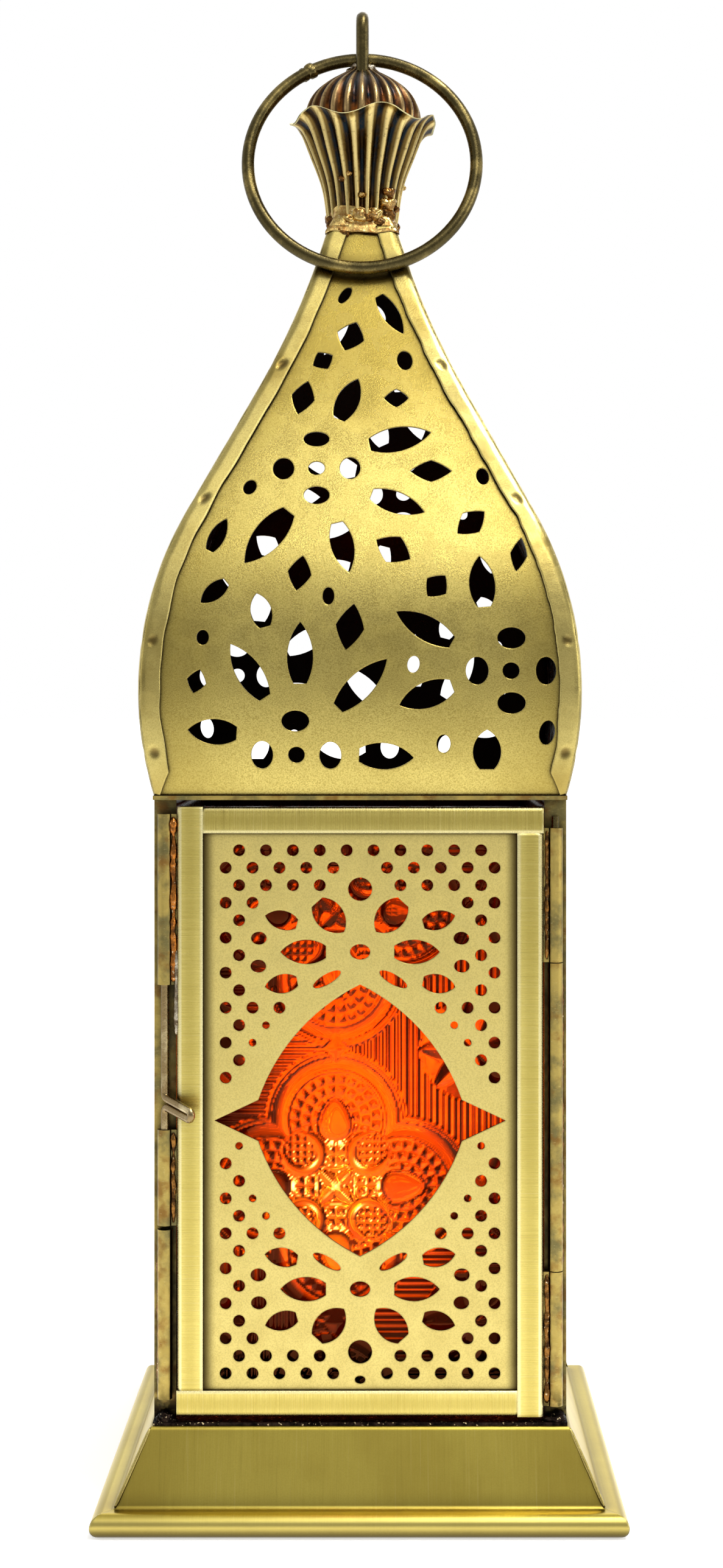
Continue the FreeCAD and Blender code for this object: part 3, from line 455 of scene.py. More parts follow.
def patina(name):
    """Brown and green grey brass of posts and tubes, sooted at the foot and scored by a file, with painted
    shade in crevices and soot with painted shade on inward faces.
    """
    made, tree, shader = material(name)
    spot = place(tree)
    dull = remap(tree, cloud(tree, spot, 0.16, 5, 0.6), 0.4, 0.65)
    tone = mix(tree, dull, srgb(192, 168, 92), srgb(128, 118, 74))
    tone = mix(tree, remap(tree, cloud(tree, spot, 0.3, 4), 0.48, 0.72, 0.0, 0.8), tone, srgb(140, 98, 46))
    score = cloud(tree, place(tree, (1.2, 1.2, 5)), 1.0, 3, 0.6)
    tone = mix(tree, remap(tree, score, 0.6, 0.75, 0.0, 0.45), tone, srgb(222, 204, 144))
    low = remap(tree, height_of(tree), *BURNT_POST, 1.0, 0.0)
    burnt = maths(tree, "MULTIPLY", low, remap(tree, cloud(tree, spot, 0.5, 4), 0.35, 0.6))
    tone = mix(tree, burnt, tone, SOOT_AND_SHADE)
    # painted shade in crevices
    tone = mix(tree, maths(tree, "MULTIPLY", crevice(tree, 3.0), 0.85), tone, srgb(30, 24, 18))
    # inward faces darkened with soot and painted shade
    tone = mix(tree, inward(tree), tone, SOOT_AND_SHADE)
    finish = remap(tree, cloud(tree, spot, 0.7, 4), 0.3, 0.7, 0.28, 0.52)
    plug(tree, shader, Base_Color=tone, Metallic=1.0, Roughness=finish, Normal=relief(tree, score, 0.3, 0.1))
    return made


def ridges(tree, count):
    """1 along each of the ridges that run up a fluted piece, 0 in the valleys."""
    spot = place(tree)
    across = part_of(tree, spot, 0)
    deep = part_of(tree, spot, 1)
    angle = maths(tree, "ARCTAN2", deep, across)
    wave = maths(tree, "COSINE", maths(tree, "MULTIPLY", angle, count))
    return maths(tree, "MULTIPLY_ADD", wave, 0.5, 0.5)


def fluted(name, count, ridge, middle, valley, stain, stain_levels):
    """Folded brass, painted highlights on the ridges and cut edges, painted shade, mottled, in the valleys,
    stained low down.
    """
    made, tree, shader = material(name)
    spot = place(tree)
    fold = ridges(tree, count)
    rubbed = cloud(tree, spot, 0.5, 4, 0.6)
    deep = mix(tree, remap(tree, cloud(tree, spot, 0.3, 4), 0.42, 0.6), valley, srgb(22, 30, 36))
    warm = remap(tree, height_of(tree), *stain_levels, 0.85, 0.0)
    deep = mix(tree, maths(tree, "MULTIPLY", warm, remap(tree, rubbed, 0.3, 0.65)), deep, stain)
    # painted shade in the valleys and painted highlights on the ridges
    tone = mix(tree, remap(tree, fold, 0.08, 0.55), deep, middle)
    tone = mix(tree, remap(tree, fold, 0.6, 1.0), tone, ridge)
    tone = mix(tree, remap(tree, cloud(tree, spot, 1.4, 4), 0.55, 0.75, 0.0, 0.5), tone, srgb(70, 48, 26))
    smooth = rounded(tree, 0.3)
    # painted highlight along cut edges
    tone = mix(tree, edges(tree, smooth), tone, WORN_EDGE_HIGHLIGHT)
    finish = remap(tree, rubbed, 0.3, 0.7, 0.2, 0.38)
    plug(tree, shader, Base_Color=tone, Metallic=1.0, Roughness=finish,
         Normal=relief(tree, cloud(tree, spot, 1.6, 3), 0.15, 0.1, smooth))
    return made


def braze(name, colour, dark, rough):
    """Run of brazing metal, mottled with flux and scale."""
    made, tree, shader = material(name)
    spot = place(tree)
    mottle = remap(tree, cloud(tree, spot, 0.7, 5, 0.65), 0.36, 0.66)
    tone = mix(tree, mottle, colour, dark)
    tone = mix(tree, remap(tree, cloud(tree, spot, 1.7, 3), 0.62, 0.74), tone, srgb(236, 214, 168))
    finish = remap(tree, mottle, 0.0, 1.0, rough - 0.1, rough + 0.15)
    plug(tree, shader, Base_Color=tone, Metallic=1.0, Roughness=finish,
         Normal=relief(tree, cloud(tree, spot, 1.1, 4), 0.5, 0.25))
    return made


def amber_glass(name):
    """Pressed amber glass with a painted glow standing in for the flame's light behind it, painted dark where
    marked shade, with a painted dazzle of the flame where so marked.
    """
    made, tree, shader = material(name)
    spot = place(tree)
    apart = add(tree, "VectorMath", {0: spot, 1: FLAME_IMAGE}, output=1, operation="DISTANCE")
    # share of painted light: none where marked shade or below the lit space
    painted_light_share = maths(tree, "SUBTRACT", 1.0, mark_of(tree, "shade"))
    lit = remap(tree, height_of(tree), UNLIT_FOOT, LIT_FOOT)
    painted_light_share = maths(tree, "MULTIPLY", painted_light_share, lit)
    # painted dazzle of the flame near its image
    spark = maths(tree, "MULTIPLY", mark_of(tree, "spark"), remap(tree, apart, 9.0, 14.0, 1.0, 0.0))
    # painted glow: emission that stands in for the flame's light through the glass
    painted_glow = maths(tree, "MULTIPLY", remap(tree, apart, 6.0, 42.0, 0.36, 0.12), painted_light_share)
    painted_glow = maths(tree, "MULTIPLY_ADD", spark, 4.2, painted_glow)
    seeds = remap(tree, cloud(tree, spot, 0.35, 3), 0.35, 0.65)
    tint = mix(tree, seeds, srgb(250, 140, 38), srgb(240, 116, 26))
    # painted shade: a dark tint where the glass is shaded, darkest below the lit space
    tint = mix(tree, painted_light_share, mix(tree, lit, srgb(6, 4, 6), srgb(30, 3, 8)), tint)
    # colour of the painted glow, pale yellow in the painted dazzle
    painted_glow_colour = mix(tree, remap(tree, apart, 3.0, 14.0, 1.0, 0.0), srgb(255, 96, 8), srgb(255, 124, 16))
    painted_glow_colour = mix(tree, spark, painted_glow_colour, srgb(255, 230, 126))
    plug(tree, shader, Base_Color=tint, Roughness=0.03, IOR=GLASS_INDEX, Transmission_Weight=1.0,
         Specular_IOR_Level=0.12, Specular_Tint=srgb(255, 140, 80),
         Emission_Color=painted_glow_colour, Emission_Strength=painted_glow)
    return made


def wax(name):
    """Cream candle wax, with a painted glow standing in for its flame's light within."""
    made, tree, shader = material(name)
    spot = place(tree)
    warm = remap(tree, height_of(tree), *PAINTED_WAX_GLOW)
    mottle = remap(tree, cloud(tree, spot, 0.2, 4), 0.35, 0.65)
    tone = mix(tree, mottle, srgb(246, 232, 200), srgb(236, 214, 172))
    finish = remap(tree, cloud(tree, spot, 0.5, 3), 0.3, 0.7, 0.35, 0.6)
    normal = relief(tree, cloud(tree, spot, 0.6, 3), 0.2, 0.3)
    # painted glow: emission that stands in for the flame's light in the wax
    plug(tree, shader, Base_Color=tone, Roughness=finish, Normal=normal,
         Subsurface_Weight=0.4, Subsurface_Scale=0.006,
         Emission_Color=srgb(255, 150, 60), Emission_Strength=maths(tree, "MULTIPLY", warm, 0.06))
    return made


def charred(name):
    """Burnt cotton wick."""
    made, tree, shader = material(name)
    twist = cloud(tree, place(tree, (2, 2, 1)), 2.0, 3)
    tone = mix(tree, remap(tree, twist, 0.4, 0.6), srgb(22, 18, 16), srgb(58, 48, 40))
    plug(tree, shader, Base_Color=tone, Roughness=0.9, Normal=relief(tree, twist, 0.6, 0.2))
    return made


def burning(name):
    """Candle flame, deep orange at the foot and pale yellow above."""
    made, tree, shader = material(name)
    rise = remap(tree, height_of(tree), FLAME_FOOT, FLAME_FOOT + 0.5 * FLAME_HEIGHT)
    tone = mix(tree, rise, srgb(255, 150, 40), srgb(255, 214, 120))
    plug(tree, shader, Base_Color=srgb(20, 10, 4), Roughness=1.0, Emission_Color=tone,
         Emission_Strength=remap(tree, rise, 0.0, 1.0, 3.0, 6.0))
    return made


def finishes():
    """Every finish of the lantern by name."""
    return {
        "plinth": brass("brass_plinth", srgb(210, 190, 88), srgb(174, 149, 60), 0.30, UPRIGHT_LINES,
                        brush=0.16, grain=0.15, crevice_shade=0.8, clouds=0.4, corners=0.4, rubbed=HEM_LEVEL),
        "stile": brass("brass_stile", srgb(234, 215, 124), srgb(188, 168, 80), 0.26, LEVEL_LINES,
                       brush=0.4, grain=0.15, crevice_shade=0.9, clouds=0.3, fold=0.9, channel=stile_edge),
        "rail": brass("brass_rail", srgb(227, 208, 118), srgb(178, 158, 74), 0.26, UPRIGHT_LINES,
                      brush=0.4, grain=0.15, crevice_shade=0.9, clouds=0.3, fold=0.9, channel=rail_edge),
        "sheet": brass("brass_sheet", srgb(233, 213, 130), srgb(190, 168, 90), 0.40,
                       grain=0.4, crevice_shade=1.0, clouds=0.15, border=SHEET_HALF, edge=SHADED_EDGE),
        "dome": brass("brass_dome", srgb(220, 200, 114), srgb(160, 138, 62), 0.25,
                      grain=0.6, crevice_shade=0.9, clouds=0.25, corners=0.5, smoke_and_shade=SMOKE_AND_SHADE_FOOT, edge=SHADED_EDGE),
        "binding": brass("brass_binding", srgb(218, 199, 120), srgb(166, 143, 72), 0.24,
                         grain=0.35, crevice_shade=0.9, clouds=0.9),
        "dish": brass("brass_dish", srgb(190, 160, 90), srgb(120, 90, 44), 0.36),
        # ridge colours of the cup and cap are painted highlights, valley colours painted shade
        "cup": fluted("brass_cup", CUP_FLUTES, ridge=srgb(226, 202, 132), middle=srgb(118, 94, 48),
                      valley=srgb(40, 27, 14), stain=srgb(140, 96, 44), stain_levels=CUP_STAIN),
        "cap": fluted("brass_cap", CAP_RIBS, ridge=srgb(184, 154, 104), middle=srgb(84, 58, 34),
                      valley=srgb(34, 22, 14), stain=srgb(158, 90, 34), stain_levels=CAP_STAIN),
        "antique": antique("brass_antique", srgb(88, 78, 48), srgb(150, 132, 80), 0.26),
        "bolt": antique("brass_bolt", srgb(150, 128, 88), srgb(216, 198, 152), 0.24),
        "patina": patina("brass_patina"),
        "braze": braze("brazing", srgb(206, 128, 54), srgb(96, 60, 32), 0.28),
        "braze_pale": braze("brazing_pale", srgb(222, 192, 118), srgb(152, 106, 54), 0.22),
        "braze_dark": braze("brazing_dark", srgb(150, 104, 50), srgb(66, 44, 26), 0.3),
        "solder": braze("solder", srgb(206, 196, 172), srgb(108, 92, 70), 0.3),
        "scale": braze("fire_scale", srgb(44, 34, 28), srgb(16, 13, 12), 0.5),
        "glass": amber_glass("pressed_amber_glass"),
        "wax": wax("candle_wax_finish"),
        "wick": charred("candle_wick_finish"),
        "flame": burning("candle_flame_finish"),
    }


FINISH = finishes()
NODE_FINISH = (
    ("plinth_", "plinth"), ("_stile", "stile"), ("_rail", "rail"), ("_pierced_sheet", "sheet"),
    ("dome_panel_", "dome"), ("dome_binding_", "binding"), ("finial_cup", "cup"), ("finial_cap", "cap"),
    ("hanging_eye", "antique"), ("carry_ring", "antique"), ("latch_bolt", "bolt"), ("hinge_pin", "antique"),
    ("floor_plate", "scale"), ("candle_dish", "dish"), ("candle_wax", "wax"), ("candle_wick", "wick"),
    ("_glass", "glass"),
)


def dress_nodes():
    """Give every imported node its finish; what the list doesn't name is patinated brass."""
    for name, node in frame["nodes"].items():
        chosen = [finish for part, finish in NODE_FINISH if part in name]
        node.material_slots[0].material = FINISH[chosen[0] if chosen else "patina"]


# Pieces

def piece(name, points, faces, body, finish, slot, **marks):
    """Mesh piece in metres that rides on a body; each mark is a number for each point."""
    mesh = bpy.data.meshes.new(name)
    mesh.from_pydata([tuple(p) for p in points], [], [tuple(f) for f in faces])
    mesh.validate()
    mesh.materials.append(FINISH[finish])
    mesh.polygons.foreach_set("use_smooth", [True] * len(mesh.polygons))
    for mark, values in marks.items():
        mesh.attributes.new(mark, "FLOAT", "POINT").data.foreach_set("value", values)
    made = bpy.data.objects.new(name, mesh)
    bpy.context.scene.collection.objects.link(made)
    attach(made, body)
    return made


def quarter_turns(count):
    """Turn about the lantern's axis by a number of quarters."""
    return Matrix.Rotation(math.radians(90 * count), 3, "Z")


def lofted(rings):
    """Points and faces of closed rings of equal length joined in turn, with both ends closed."""
    count = len(rings[0])
    points = [p for ring in rings for p in ring]
    faces = []
    for level in range(len(rings) - 1):
        for step in range(count):
            after = (step + 1) % count
            low = level * count
            faces.append((low + step, low + after, low + count + after, low + count + step))
    faces.append(tuple(reversed(range(count))))
    faces.append(tuple(range(len(points) - count, len(points))))
    return points, faces


# Pressed glass

def bump_at(value, middle, width):
    """Smooth ridge of height 1."""
    return np.exp(-((value - middle) / width) ** 2)


def studs(across, along):
    """Square studs with sloping sides, one to each unit cell."""
    cell = np.maximum(np.abs(across % 1 - 0.5), np.abs(along % 1 - 0.5))
    return 0.95 - 1.5 * np.clip(cell - 0.06, 0, 0.5)


def lobe_pressing(side, out, reach):
    """One lobe of the quatrefoil: rim lines, smooth hollow, rows of studs and a lens in the middle."""
    rim = 0.45 + 0.5 * bump_at(reach, LOBE_RADIUS - 0.45, 0.32)
    rim = rim + 0.4 * bump_at(reach, LOBE_RADIUS - 1.35, 0.3)
    hollow = 0.12 + 0.3 * ((reach - HOLLOW_MIDDLE) / 1.3) ** 2
    press = np.where((reach < HOLLOW[1]) & (reach > HOLLOW[0]), np.minimum(hollow, 0.45), rim)
    press = np.maximum(press, 0.8 * bump_at(reach, HOLLOW_LIP, 0.3))
    row = np.clip(np.floor((STUD_REACH - reach) / BEAD), 0, 3)
    count = np.round(2 * np.pi * (STUD_REACH - (row + 0.5) * BEAD) / BEAD)
    turn = np.arctan2(side, out) / (2 * np.pi)
    press = np.where(reach < STUD_REACH, studs(turn * count, (STUD_REACH - reach) / BEAD), press)
    lens = np.sqrt((side / (LENS_HALF[0] - 0.18 * out)) ** 2 + (out / LENS_HALF[1]) ** 2)
    press = np.where(lens < 1.15, 0.1, press)
    return np.where(lens < 1.0, 0.25 + 0.75 * np.sqrt(np.clip(1 - lens ** 2, 0, 1)), press)


def corner_pressing(x, z, aside, above):
    """Field between four quatrefoils: ribs round a star of eight leaves."""
    from_middle = np.hypot(aside, above)
    leaf = np.pi / 4
    off = np.abs((np.arctan2(above, aside) + leaf / 2) % leaf - leaf / 2)
    half = LEAF_HALF * np.sin(np.pi * np.clip(from_middle / LEAF_LENGTH, 0, 1)) + 0.05
    beside = from_middle * np.sin(off) / half
    tile = np.floor((x - TILE_MIDDLE[0]) / TILE) + np.floor((z - TILE_MIDDLE[1]) / TILE)
    ribs = 0.5 + 0.38 * np.cos(2 * np.pi * np.where(tile % 2 == 0, x, z) / RIB)
    field = np.where(from_middle < STAR_FIELD, 0.15, ribs)
    return np.where((beside < 1) & (from_middle < LEAF_LENGTH), 0.95 - 0.8 * beside, field)


def pressing(x, z):
    """Height of the pressed pattern from 0 to 1 over places in millimetres on the pane."""
    u = np.abs((x - TILE_MIDDLE[0] + TILE / 2) % TILE - TILE / 2)
    v = np.abs((z - TILE_MIDDLE[1] + TILE / 2) % TILE - TILE / 2)
    along = np.maximum(u, v)
    side = np.minimum(u, v)
    reach = np.hypot(along - LOBE, side)
    press = np.where(reach < LOBE_RADIUS, lobe_pressing(side, along - LOBE, reach),
                     corner_pressing(x, z, TILE / 2 - u, TILE / 2 - v))
    from_middle = np.hypot(u, v)
    half = PETAL_HALF * np.sin(np.pi * np.clip(from_middle / PETAL_LENGTH, 0, 1)) + 0.05
    beside = np.abs(u - v) / DIAGONAL / half
    press = np.where((beside < 1) & (from_middle < PETAL_LENGTH), 0.95 - 0.5 * beside, press)
    out = np.hypot(u - CRESCENT, v - CRESCENT)
    ridge = 0.15 + 0.8 * np.sqrt(np.clip(1 - ((out - CRESCENT_RIDGE[0]) / CRESCENT_RIDGE[1]) ** 2, 0, 1))
    press = np.where(out < CRESCENT_RADIUS, ridge, press)
    in_nest = np.hypot(u - NEST, v - NEST) < NEST_RADIUS
    nested = studs((u - NEST) / NEST_STUD, (v - NEST) / NEST_STUD)
    press = np.where(in_nest & (out < CRESCENT_RADIUS), nested, press)
    press = np.where(from_middle < BOSS_RADIUS, 1.0 - 0.25 * from_middle, press)
    knot = side + (TILE / 2 - along)
    return np.where(knot < KNOT, 1.0 - 0.27 * knot, press)


def seen_through(x, z, run, rise, depth):
    """Where the sight line through a sloping place of the pane comes to, a depth behind it."""
    bend = depth * (GLASS_INDEX - 1)
    return x - bend * run, z - bend * rise


def pressed_pane(node, body, index):
    """Pane pressed on its outer face, in the place of a flat glass node."""
    low, high = (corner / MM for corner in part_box(node))
    half = max(high.x - low.x, high.y - low.y) / 2
    front = -max(abs(v) for v in (low.x, low.y, high.x, high.y))
    back = front + min(high.x - low.x, high.y - low.y)
    columns = round(2 * half / RELIEF_STEP)
    rows = round((high.z - low.z) / RELIEF_STEP)
    x, z = np.meshgrid(np.linspace(-half, half, columns + 1), np.linspace(low.z, high.z, rows + 1))
    y = front + RELIEF * (1 - np.clip(pressing(x, z), 0, 1))
    rise, run = np.gradient(y, z[1, 0] - z[0, 0], x[0, 1] - x[0, 0])
    # painted shade: dark where the sight line through the pressing misses the lit space behind the pane
    far_x, far_z = seen_through(x, z, run, rise, LIT_DEPTH)
    off_lit = np.hypot(far_x / LIT_HALF[0], (far_z - LIT_MIDDLE) / LIT_HALF[1])
    shade = np.clip(SHADE_STEEP * off_lit - SHADE_START, 0, 1)
    # painted dazzle: bright where the sight line meets the flame
    near_x, near_z = seen_through(x, z, run, rise, FLAME_DEPTH)
    off_flame = np.hypot(near_x - TILE_MIDDLE[0], near_z - TILE_MIDDLE[1])
    spark = np.exp(-(off_flame / DAZZLE) ** 2)
    points = np.stack((x, y, z), -1).reshape(-1, 3)
    start = (np.arange(rows)[:, None] * (columns + 1) + np.arange(columns)).reshape(-1)
    faces = np.stack((start, start + 1, start + columns + 2, start + columns + 1), -1).tolist()
    border = list(range(columns + 1))
    border += [(row + 1) * (columns + 1) + columns for row in range(rows)]
    border += [rows * (columns + 1) + columns - 1 - step for step in range(columns)]
    border += [(rows - 1 - row) * (columns + 1) for row in range(rows - 1)]
    behind = points[border] * (1, 0, 1) + (0, back, 0)
    first = len(points)
    for step, here in enumerate(border):
        after = (step + 1) % len(border)
        faces.append((here, first + step, first + after, border[after]))
    faces.append(list(range(first + len(border) - 1, first - 1, -1)))
    placed = np.concatenate((points, behind)) * MM
    plain = np.zeros(len(behind))
    pane = piece(node.replace("glass", "pressed_glass"), placed, faces, body, "glass", "amber_glass",
                 shade=np.concatenate((shade.reshape(-1), plain)),
                 spark=np.concatenate((spark.reshape(-1), plain)))
    pressed = np.arange(len(pane.data.polygons)) < rows * columns
    pane.data.polygons.foreach_set("use_smooth", pressed)
    pane.rotation_euler = quarter_turns(index).to_euler()
    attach(pane, body)
    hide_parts(node)


def glass_panes():
    """Pressed pane of the door and of the three fixed sides."""
    pressed_pane("door_glass", "door", 0)
    for index, side in enumerate(FIXED_SIDES, 1):
        pressed_pane(side + "_glass", "lantern", index)


# Flame

def flame():
    """Teardrop flame on the wick, leaning in the draught, with the light that it gives."""
    rings = []
    for level in range(1, FLAME_STEPS):
        rise = level / FLAME_STEPS
        radius = FLAME_RADIUS * math.sin(math.pi * rise ** 0.75) ** 0.9 * (1 - 0.45 * rise)
        middle = Vector((FLAME_LEAN * rise ** 1.5, 0, FLAME_FOOT + FLAME_HEIGHT * rise))
        ring = [middle + radius * Vector((math.cos(a), math.sin(a), 0))
                for a in np.linspace(0, 2 * math.pi, FLAME_STEPS, endpoint=False)]
        rings.append([p * MM for p in ring])
    points, faces = lofted(rings)
    body = piece("candle_flame", points, faces, "candle", "flame", "wick")
    lamp = bpy.data.lights.new("candle_light", "POINT")
    lamp.energy = FLAME_WATTS
    lamp.color = FLAME_COLOUR
    lamp.shadow_soft_size = FLAME_SOFT
    light = bpy.data.objects.new("candle_light", lamp)
    light.location = (FLAME_LEAN * 0.4 * MM, 0, (FLAME_FOOT + 0.9 * FLAME_HEIGHT) * MM)
    bpy.context.scene.collection.objects.link(light)
    light.parent = body
    light.visible_camera = False
    light.visible_glossy = False
    light.visible_transmission = False
    body.visible_shadow = False


# Corner bindings

def corner_line():
    """Levels and distances of the outer edge of the dome's corner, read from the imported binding."""
    edge = {}
    for vertex in frame["nodes"]["dome_binding_1"].data.vertices:
        spot = vertex.co / MM
        outward = vertex.normal.x - vertex.normal.y
        if abs(spot.x + spot.y) < 0.02 and outward > 0.5:
            edge[round(spot.z, 2)] = spot.x
    levels = sorted(edge)
    return levels, [edge[level] for level in levels]


def wobble(x, y, z=0.0):
    """Smooth irregularity between about -1 and 1."""
    return noise.noise(Vector((x, y, z)))


def binding_ring(corner, level, foot, seed):
    """Section of a binding at a level, from cut edge to cut edge and back, with the shade of each point."""
    ragged = BIND_WIDTH + BIND_WAVE * wobble(level * 0.16, seed)
    ragged += 0.5 * BIND_WAVE * wobble(level * 0.5, seed + 7)
    plain = BIND_WIDTH + BIND_WAVE * wobble(level * 0.16, seed + 3)
    taper = min(1.0, 0.3 + 0.7 * (level - foot) / BIND_TAPER)
    outside = []
    for leg, width in ((0, ragged * taper), (1, plain * taper)):
        for step in range(BIND_COLUMNS + 1):
            inset = width * (1 - step / BIND_COLUMNS) if leg == 0 else width * step / BIND_COLUMNS
            crown = BIND_CROWN * max(0.0, 1 - inset / BIND_ROUND) ** 2
            dent = crown + 0.05 * wobble(level * 0.3, inset * 0.5, seed + 11 * leg)
            dent -= BIND_LIFT * (inset / BIND_WIDTH) ** 3
            above = min(abs(level - dimple_level) for dimple_level in DIMPLE_LEVELS)
            spread = (above ** 2 + (inset - DIMPLE_INSET) ** 2) / DIMPLE_RADIUS ** 2
            dimple = math.exp(-spread * spread)
            outside.append((leg, inset, dent + DIMPLE_DEPTH * dimple, 0.8 * dimple))
    ring = []
    for under, run in ((0.0, outside), (BIND_SHEET, outside[::-1])):
        for leg, inset, dent, shade in run:
            face = corner - max(dent, under) + (BIND_LIFT * (inset / BIND_WIDTH) ** 3 if under else 0.0)
            inset = max(inset, corner - face)
            spot = (face, -(corner - inset)) if leg else (corner - inset, -face)
            ring.append((Vector((*spot, level)), shade))
    return ring


def bindings():
    """Folded strips over the four corners of the dome, with a wavy cut edge and punched dimples."""
    levels, reach = corner_line()
    rows = np.linspace(levels[0], levels[-1], BIND_ROWS)
    for index in range(4):
        turn = quarter_turns(index)
        rings = []
        shade = []
        for level in rows:
            corner = float(np.interp(level, levels, reach))
            ring = binding_ring(corner, float(level), levels[0], 5.0 * index)
            rings.append([turn @ point * MM for point, dark in ring])
            shade += [dark for point, dark in ring]
        node = "dome_binding_%d" % (index + 1)
        strip = piece("dome_strip_%d" % (index + 1), *lofted(rings), "lantern", "binding", "brass_satin",
                      shade=shade)
        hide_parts(node)


# Brazing

def along_line(name, start, end, radius, finish, body="lantern", seed=0.0, uneven=1.0):
    """Uneven run of brazing metal from point to point, in millimetres, with rounded ends."""
    start = Vector(start)
    end = Vector(end)
    length = (end - start).length
    side = (end - start).orthogonal().normalized()
    other = (end - start).normalized().cross(side)
    steps = round(length / RUN_STEP)
    rings = []
    for step in range(steps + 1):
        far = length * step / steps
        lump = 0.85 + uneven * (0.55 * wobble(far * 0.35, seed) + 0.3 * wobble(far * 1.1, seed + 4))
        tip = min(1.0, (0.3 + far) / RUN_TIP, (0.3 + length - far) / RUN_TIP) ** 0.5
        middle = start.lerp(end, step / steps) + 0.3 * uneven * radius * wobble(far * 0.25, seed + 8) * side
        ring = []
        for turn in np.linspace(0, 2 * math.pi, RUN_POINTS, endpoint=False):
            swell = 1 + 0.2 * uneven * wobble(far * 0.8, 1.5 * math.cos(turn), seed + turn)
            fat = radius * tip * lump * swell
            ring.append((middle + fat * (math.cos(turn) * side + math.sin(turn) * other)) * MM)
        rings.append(ring)
    piece(name, *lofted(rings), body, finish, "brass_patina")


def drops(name, spots, finish, body="lantern", slot="brass_patina", uneven=0.3):
    """Cluster of set drops of metal, each a place and its three half sizes in millimetres."""
    ball = bmesh.new()
    bmesh.ops.create_icosphere(ball, subdivisions=4, radius=1)
    points = []
    faces = []
    for index, (spot, sizes) in enumerate(spots):
        first = len(points)
        for vertex in ball.verts:
            swell = 1 + uneven * noise.noise(vertex.co * 1.2 + Vector((7 * index, 0, 0)))
            swell += 0.08 * noise.noise(vertex.co * 4.0 + Vector((0, 5 * index, 0)))
            points.append((Vector(spot) + swell * vertex.co * Vector(sizes)) * MM)
        faces += [[first + v.index for v in face.verts] for face in ball.faces]
    ball.free()
    piece(name, points, faces, body, finish, slot)


def tube_seam(node, where, short, radius, finish, body, seed):
    """Run up the side of a tube."""
    low, high = (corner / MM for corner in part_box(node))
    side = 1 if low.x > 0 else -1
    foot = (side * where[0], where[1], low.z + short)
    top = (side * where[0], where[1], high.z - short)
    along_line(node + "_brazing", foot, top, radius, finish, body, seed)


def door_brazing():
    """Runs that hold the hinge and latch tubes to the edges of the door."""
    runs = (("hinge_lower_knuckle", "braze_dark", 0.62), ("hinge_upper_knuckle", "braze_dark", 0.5),
            ("latch_lower_guide", "braze_dark", 0.55), ("latch_upper_guide", "braze", 0.7))
    for index, (node, finish, radius) in enumerate(runs):
        tube_seam(node, TUBE_SEAM, TUBE_SEAM_END, radius, finish, "door", 3.0 * index)
    foot, top = ((*TORN_SOLDER, level) for level in TORN_LEVELS)
    along_line("door_torn_solder", foot, top, 0.5, "solder", "door", 21.0)


def frame_brazing():
    """Runs down the outside of the tubes on the posts, and the burnt drops at the posts' feet."""
    for index, node in enumerate(("latch_keeper", "hinge_frame_knuckle")):
        tube_seam(node, POST_SEAM, POST_SEAM_END, 0.5, "braze_dark", "lantern", 31.0 + index)
    for index in range(4):
        turn = quarter_turns(index)
        spots = []
        for spot, sizes in POST_FOOT_DROPS:
            spots.append((turn @ Vector(spot), [abs(size) for size in turn @ Vector(sizes)]))
        drops("post_foot_%d" % (index + 1), spots, "scale")


def plinth_brazing():
    """Runs down the corners of the plinth and drops on the corners of the hem."""
    for index in range(4):
        turn = quarter_turns(index)
        start = turn @ Vector((PLINTH_TOP - 0.1, 0.1 - PLINTH_TOP, PLINTH_LEVEL - 0.3))
        end = turn @ Vector((PLINTH_FOOT - 0.1, 0.1 - PLINTH_FOOT, HEM_LEVEL + 0.3))
        along_line("plinth_seam_%d" % (index + 1), start, end, 0.45, "binding", "lantern", 41.0 + index, 0.2)
        corner = [(turn @ Vector(HEM_CORNER), (HEM_DROP, HEM_DROP, HEM_DROP))]
        drops("hem_corner_%d" % (index + 1), corner, "plinth", slot="brass_brushed")


NECK_DROPS = (                     # turn from the front to the right in degrees, level, radius, size
    (-24, 253.6, 6.9, 1.2), (-34, 251.0, 7.6, 1.5), (-4, 254.4, 6.6, 1.6), (10, 254.0, 6.7, 1.1),
    (24, 254.6, 6.9, 1.5), (31, 253.0, 7.2, 1.1), (52, 252.6, 7.4, 1.5), (49, 254.8, 7.3, 1.5),
    (47, 257.0, 7.6, 1.4), (45, 259.2, 8.0, 1.1), (-18, 262.6, 8.6, 0.5), (-30, 261.7, 8.5, 0.6),
    (0, 258.3, 7.9, 0.5), (68, 256.4, 7.7, 0.6), (95, 261.5, 8.6, 0.5), (110, 253.6, 7.0, 1.3),
    (140, 254.2, 6.9, 1.4), (172, 253.8, 6.8, 1.2), (205, 254.4, 6.9, 1.6), (238, 253.4, 7.1, 1.2),
    (262, 254.8, 6.9, 1.3), (290, 253.6, 7.0, 1.4),
)


